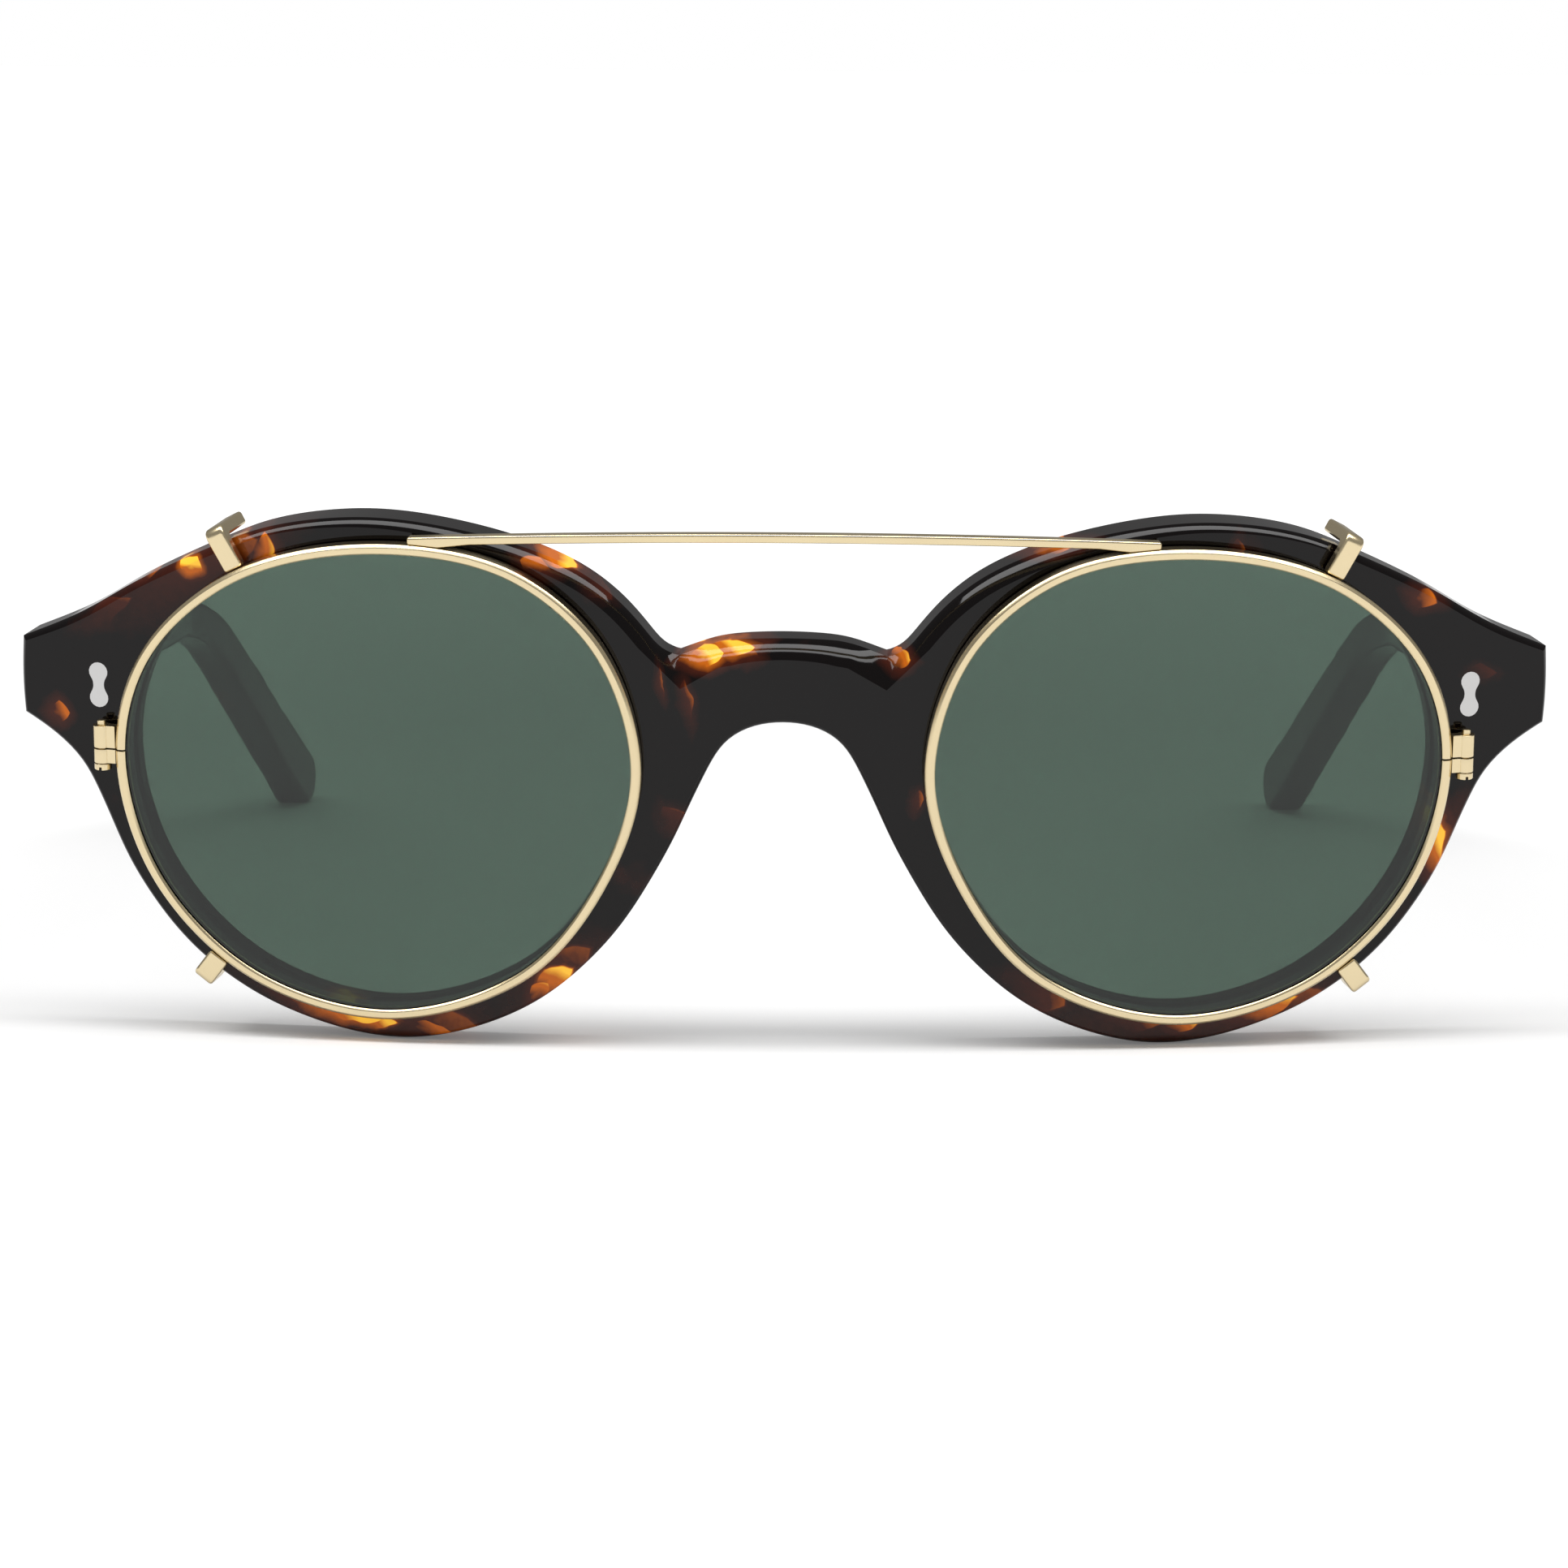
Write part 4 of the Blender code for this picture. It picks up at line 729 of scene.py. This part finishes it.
def bright_metal(name, colour, roughness, scratches):
    """Polished metal with a fine uneven sheen and hair-fine scratches."""
    material, surface, wire = new_surface(name)
    place = wire.node("TexCoord", output="Object")
    cloud = wire.node("TexNoise", sockets={"Vector": place, "Scale": SHEEN_CLOUDS_A_METRE, "Detail": 3.0})
    worn = tuple(part * WORN for part in colour)
    tone = cloud.mixed((*worn, 1), (*colour, 1))
    stretched = wire.node("Mapping", sockets={"Vector": place, "Scale": SCRATCH_SCALE})
    hair = wire.node("TexNoise", sockets={"Vector": stretched, "Scale": 1.0, "Detail": 2.0})
    bump = wire.node("Bump", sockets={"Strength": scratches, "Distance": SCRATCH_DEPTH, "Height": hair})
    plugged(surface, Base_Color=tone, Roughness=roughness + cloud * UNEVEN_SHEEN, Metallic=1.0, Normal=bump)
    return material


rivet_silver = bright_metal("rivet_silver", NICKEL_SILVER, roughness=0.34, scratches=0.10)


def polished(piece, width, segments, angle):
    """Rounds the edges of a piece that are sharper than an angle, and shades it smoothly."""
    applied(piece, "BEVEL", width=width, segments=segments, limit_method="ANGLE",
            angle_limit=angle, use_clamp_overlap=True, miter_outer="MITER_ARC")
    return shaded(piece)


def softened(node, name, body, material, width):
    """A CAD node's shape with its edges broken, riding on a body."""
    piece = merged_copy(node, name)
    edited(piece, (bpy.ops.mesh.dissolve_limited, {"angle_limit": FLAT_ANGLE}))
    polished(piece, width, 3, BROKEN_ANGLE)
    piece.data.materials.append(material)
    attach(piece, body)
    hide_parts(node)
    return piece


for name in SIDES:
    arm_body = f"temple_{name}"
    softened(f"front_rivet_{name}", f"front_rivet_head_{name}", "frame", rivet_silver, FASTENER_EDGE)
    softened(f"front_hinge_{name}", f"front_hinge_leaf_{name}", "frame", rivet_silver, LEAF_EDGE)
    softened(f"hinge_screw_{name}", f"hinge_pin_screw_{name}", "frame", rivet_silver, FASTENER_EDGE)
    softened(f"temple_hinge_{name}", f"temple_hinge_leaf_{name}", arm_body, rivet_silver,
             LEAF_EDGE)
    softened(f"temple_rivet_{name}", f"temple_rivet_head_{name}", arm_body, rivet_silver,
             FASTENER_EDGE)


# ---------------------------------------------------------------- temples
# Each temple is cut from a darker sheet of the same acetate, with a steel wire driven down
# its middle, mitred against the end piece and polished all round.

HINGED_LENGTH = 18 * MM
TEMPLE_ROUNDING = 0.75 * MM
TEMPLE_EDGE = 0.12 * MM
LONG_EDGE_ANGLE = math.radians(50)
TEMPLE_FLAT_ANGLE = math.radians(0.5)
TEMPLE_CLOUDS = 3.0
STEEL = (0.62, 0.62, 0.63)

core_steel = bright_metal("core_steel", STEEL, roughness=0.3, scratches=0.1)
temple_acetate = tortoiseshell("tortoiseshell_temple", [], TEMPLE_CLOUDS)


def long_edges_rounded(arm):
    """Rounds a temple's long edges and its tip, but not the seats of its rivets and hinge."""
    mesh_builder = bmesh.new()
    mesh_builder.from_mesh(arm.data)
    plain_from = min(vertex.co.y for vertex in mesh_builder.verts) + HINGED_LENGTH
    bmesh.ops.bisect_plane(mesh_builder, geom=[*mesh_builder.verts, *mesh_builder.edges, *mesh_builder.faces],
                           plane_co=(0, plain_from, 0), plane_no=(0, 1, 0))
    edges = [edge for edge in mesh_builder.edges
             if max(vertex.co.y for vertex in edge.verts) > plain_from - WELD and edge.is_convex
             and edge.calc_face_angle(0) > LONG_EDGE_ANGLE]
    bmesh.ops.bevel(mesh_builder, geom=edges, offset=TEMPLE_ROUNDING, segments=4, affect="EDGES",
                    profile=0.5, clamp_overlap=False)
    mesh_builder.to_mesh(arm.data)
    mesh_builder.free()


for name in SIDES:
    arm = merged_copy(f"temple_{name}", f"acetate_temple_{name}")
    edited(arm, (bpy.ops.mesh.dissolve_limited, {"angle_limit": TEMPLE_FLAT_ANGLE}))
    long_edges_rounded(arm)
    applied(arm, "TRIANGULATE", ngon_method="BEAUTY", min_vertices=5)
    polished(arm, TEMPLE_EDGE, 2, LONG_EDGE_ANGLE)
    arm.data.materials.append(temple_acetate)
    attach(arm, f"temple_{name}")
    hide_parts(f"temple_{name}")
    core = frame["nodes"][f"temple_core_{name}"]
    core.data.materials.clear()
    core.data.materials.append(core_steel)


# ---------------------------------------------------------------- clip-on rims
# Each rim is a thin flat band of pale gold-plated metal, grooved inside for its lens and
# split where the lock screw closes it.

RIM_OUTSIDE_LENS = 0.62 * MM
RIM_INSIDE_LENS = 0.38 * MM
RIM_FRONT = -2.0 * MM
RIM_BACK = -0.35 * MM
RIM_CHAMFER = 0.3 * MM
RIM_INNER_CHAMFER = 0.2 * MM
RIM_EDGE = 0.06 * MM
RIM_EDGE_ANGLE = math.radians(30)
CLIP_LENS_FRONT = -1.625 * MM
CLIP_LENS_BACK = -0.725 * MM
LENS_CLEARANCE = 0.1 * MM
SPLIT_WIDTH = 0.15 * MM
SAW_LENGTH = 4 * MM
SAW_DEPTH = 6 * MM
GOLD_PLATE = (0.84, 0.70, 0.44)
GREY_GREEN_TINT = (0.060, 0.105, 0.077)


def split(band, name, outermost):
    """Saws a flat rim through at its outer side, between the two halves of its lock."""
    halves = [[flattened(vertex.co).y for vertex in frame["nodes"][f"rim_lock_{half}_{name}"].data.vertices]
              for half in ("upper", "lower")]
    level = (min(halves[0]) + max(halves[1])) / 2
    bpy.ops.mesh.primitive_cube_add(size=1, location=(outermost, level, RIM_FRONT))
    saw = bpy.context.object
    saw.scale = (SAW_LENGTH, SPLIT_WIDTH, SAW_DEPTH)
    applied(band, "BOOLEAN", operation="DIFFERENCE", object=saw, solver="EXACT")
    bpy.data.objects.remove(saw)


pale_gold = bright_metal("pale_gold", GOLD_PLATE, roughness=0.22, scratches=0.04)
tinted = glass("green_tinted", GREY_GREEN_TINT)
for name, side in SIDES.items():
    loop = smoothed(outlines(f"clip_lens_{name}", CLIP_LENS_FRONT)[0])
    lens = walled_sheet(f"sun_lens_{name}",
                        [[ring(loop, 0, CLIP_LENS_FRONT), ring(loop, 0, CLIP_LENS_BACK)]])
    bent_into_place(lens)
    shaded(lens)
    lens.data.materials.append(tinted)
    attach(lens, "clip_on")
    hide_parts(f"clip_lens_{name}")
    outside = [ring(loop, RIM_OUTSIDE_LENS - RIM_CHAMFER, RIM_FRONT),
               ring(loop, RIM_OUTSIDE_LENS, RIM_FRONT + RIM_CHAMFER),
               ring(loop, RIM_OUTSIDE_LENS, RIM_BACK)]
    inside = [ring(loop, -RIM_INSIDE_LENS + RIM_INNER_CHAMFER, RIM_FRONT),
              ring(loop, -RIM_INSIDE_LENS, RIM_FRONT + RIM_INNER_CHAMFER),
              ring(loop, -RIM_INSIDE_LENS, CLIP_LENS_FRONT - LENS_CLEARANCE),
              ring(loop, LENS_CLEARANCE, CLIP_LENS_FRONT - LENS_CLEARANCE),
              ring(loop, LENS_CLEARANCE, CLIP_LENS_BACK + LENS_CLEARANCE),
              ring(loop, -RIM_INSIDE_LENS, CLIP_LENS_BACK + LENS_CLEARANCE),
              ring(loop, -RIM_INSIDE_LENS, RIM_BACK)]
    band = walled_sheet(f"clip_rim_band_{name}", [outside, inside])
    split(band, name, side * max(abs(point.x) for point in loop))
    applied(band, "BEVEL", width=RIM_EDGE, segments=2, limit_method="ANGLE", angle_limit=RIM_EDGE_ANGLE)
    bent_into_place(band)
    shaded(band)
    band.data.materials.append(pale_gold)
    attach(band, "clip_on")
    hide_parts(f"clip_rim_{name}")


# ---------------------------------------------------------------- clip-on bar, locks and claws
# A flat arched wire joins the rims.  Two-part lock barrels with a slotted screw close them,
# and four claws of bent strip hook over the front's edge.  All are soldered to the rims.

BAR_EDGE = 0.22 * MM
BARREL_EDGE = 0.28 * MM
LOCK_SCREW_EDGE = 0.05 * MM
CLAW_EDGE = 0.3 * MM

softened("clip_bar", "clip_arch_bar", "clip_on", pale_gold, BAR_EDGE)
for name in SIDES:
    softened(f"rim_lock_upper_{name}", f"lock_upper_{name}", "clip_on", pale_gold, BARREL_EDGE)
    softened(f"rim_lock_lower_{name}", f"lock_lower_{name}", "clip_on", pale_gold, BARREL_EDGE)
    softened(f"rim_lock_screw_{name}", f"lock_screw_{name}", "clip_on", pale_gold,
             LOCK_SCREW_EDGE)
    softened(f"upper_claw_{name}", f"upper_hook_{name}", "clip_on", pale_gold, CLAW_EDGE)
    softened(f"lower_claw_{name}", f"lower_hook_{name}", "clip_on", pale_gold, CLAW_EDGE)


# ---------------------------------------------------------------- floor, light and camera
# A plain white table under one wide soft lamp, in a quiet white surround.  The table far
# from the object is shown white all the way back.

FLOOR_SIZE = 8.0
FLOOR_BELOW = 0.02 * MM
TABLE_WHITE = (0.9, 0.9, 0.9, 1)
BLACK = (0, 0, 0, 1)
WHITE = (1, 1, 1, 1)
WHITE_FROM = 0.15
WHITE_SLOPE = 1.5
FLOOR_GLOW = 0.13
MIRRORED_FLOOR = 0.2
SURROUND = 0.25
LAMP_RADIANCE = 6.1
LAMP_DIRECTION = (0, -0.3, 0.95)
LAMP_WIDTH = 1.9
LAMP_HEIGHT = 0.38


def seen(wire):
    """1 for what the camera sees, straight or through a lens, and 0 for all other light."""
    return wire.maths("MAXIMUM", wire.node("LightPath", output="Is Camera Ray"),
                      wire.node("LightPath", output="Is Transmission Ray"))


bpy.ops.object.select_all(action="DESELECT")
bpy.ops.mesh.primitive_plane_add(size=FLOOR_SIZE, location=(0, 0, -FLOOR_BELOW))
floor = bpy.context.object
floor.name = "floor"
material, surface, wire = new_surface("white_table")
shown = seen(wire) + wire.node("LightPath", output="Is Glossy Ray") * MIRRORED_FLOOR
place = wire.node("TexCoord", output="Object")
reach = wire.node("VectorMath", {"operation": "LENGTH"}, {0: place}, output="Value")
far = (reach - WHITE_FROM).clamped() * WHITE_SLOPE
glow = (shown * (far + FLOOR_GLOW)).clamped()
plugged(surface, Base_Color=TABLE_WHITE, Roughness=0.6, Specular_IOR_Level=0.1,
        Emission_Color=glow.mixed(BLACK, WHITE), Emission_Strength=1.0)
material.cycles.emission_sampling = "NONE"
floor.data.materials.append(material)

world = bpy.data.worlds.new("white_surround")
bpy.context.scene.world = world
world.use_nodes = True
sky = Wire(world.node_tree)
background = world.node_tree.nodes["Background"]
strength = SURROUND + seen(sky) * (1 - SURROUND)
background.inputs["Color"].default_value = WHITE
sky.tree.links.new(strength.socket, background.inputs["Strength"])

# The lamp is a soft box one metre away.
bpy.ops.object.light_add(type="AREA", location=Vector(LAMP_DIRECTION).normalized())
lamp = bpy.context.object
lamp.rotation_euler = Vector(LAMP_DIRECTION).to_track_quat("Z", "Y").to_euler()
lamp.data.shape = "RECTANGLE"
lamp.data.size = LAMP_WIDTH
lamp.data.size_y = LAMP_HEIGHT
lamp.data.energy = LAMP_RADIANCE * math.pi * LAMP_WIDTH * LAMP_HEIGHT

CAMERA_TARGET = Vector((0.1, -67.6, 25.6)) * MM
CAMERA_DISTANCE = 471.4 * MM
CAMERA_AZIMUTH = math.radians(-0.3)
CAMERA_PITCH = math.radians(9.4)
CAMERA_ROLL = math.radians(0.35)
CAMERA_LENS = 114.9
SENSOR_WIDTH = 36

bpy.ops.object.camera_add()
camera = bpy.context.object
ahead = Vector((math.sin(CAMERA_AZIMUTH) * math.cos(CAMERA_PITCH),
                math.cos(CAMERA_AZIMUTH) * math.cos(CAMERA_PITCH), -math.sin(CAMERA_PITCH)))
camera.location = CAMERA_TARGET - ahead * CAMERA_DISTANCE
turned = ahead.to_track_quat("-Z", "Y").to_matrix() @ Matrix.Rotation(CAMERA_ROLL, 3, "Z")
camera.rotation_euler = turned.to_euler()
camera.data.lens = CAMERA_LENS
camera.data.sensor_width = SENSOR_WIDTH
bpy.context.scene.camera = camera
bpy.context.scene.view_settings.view_transform = "Standard"
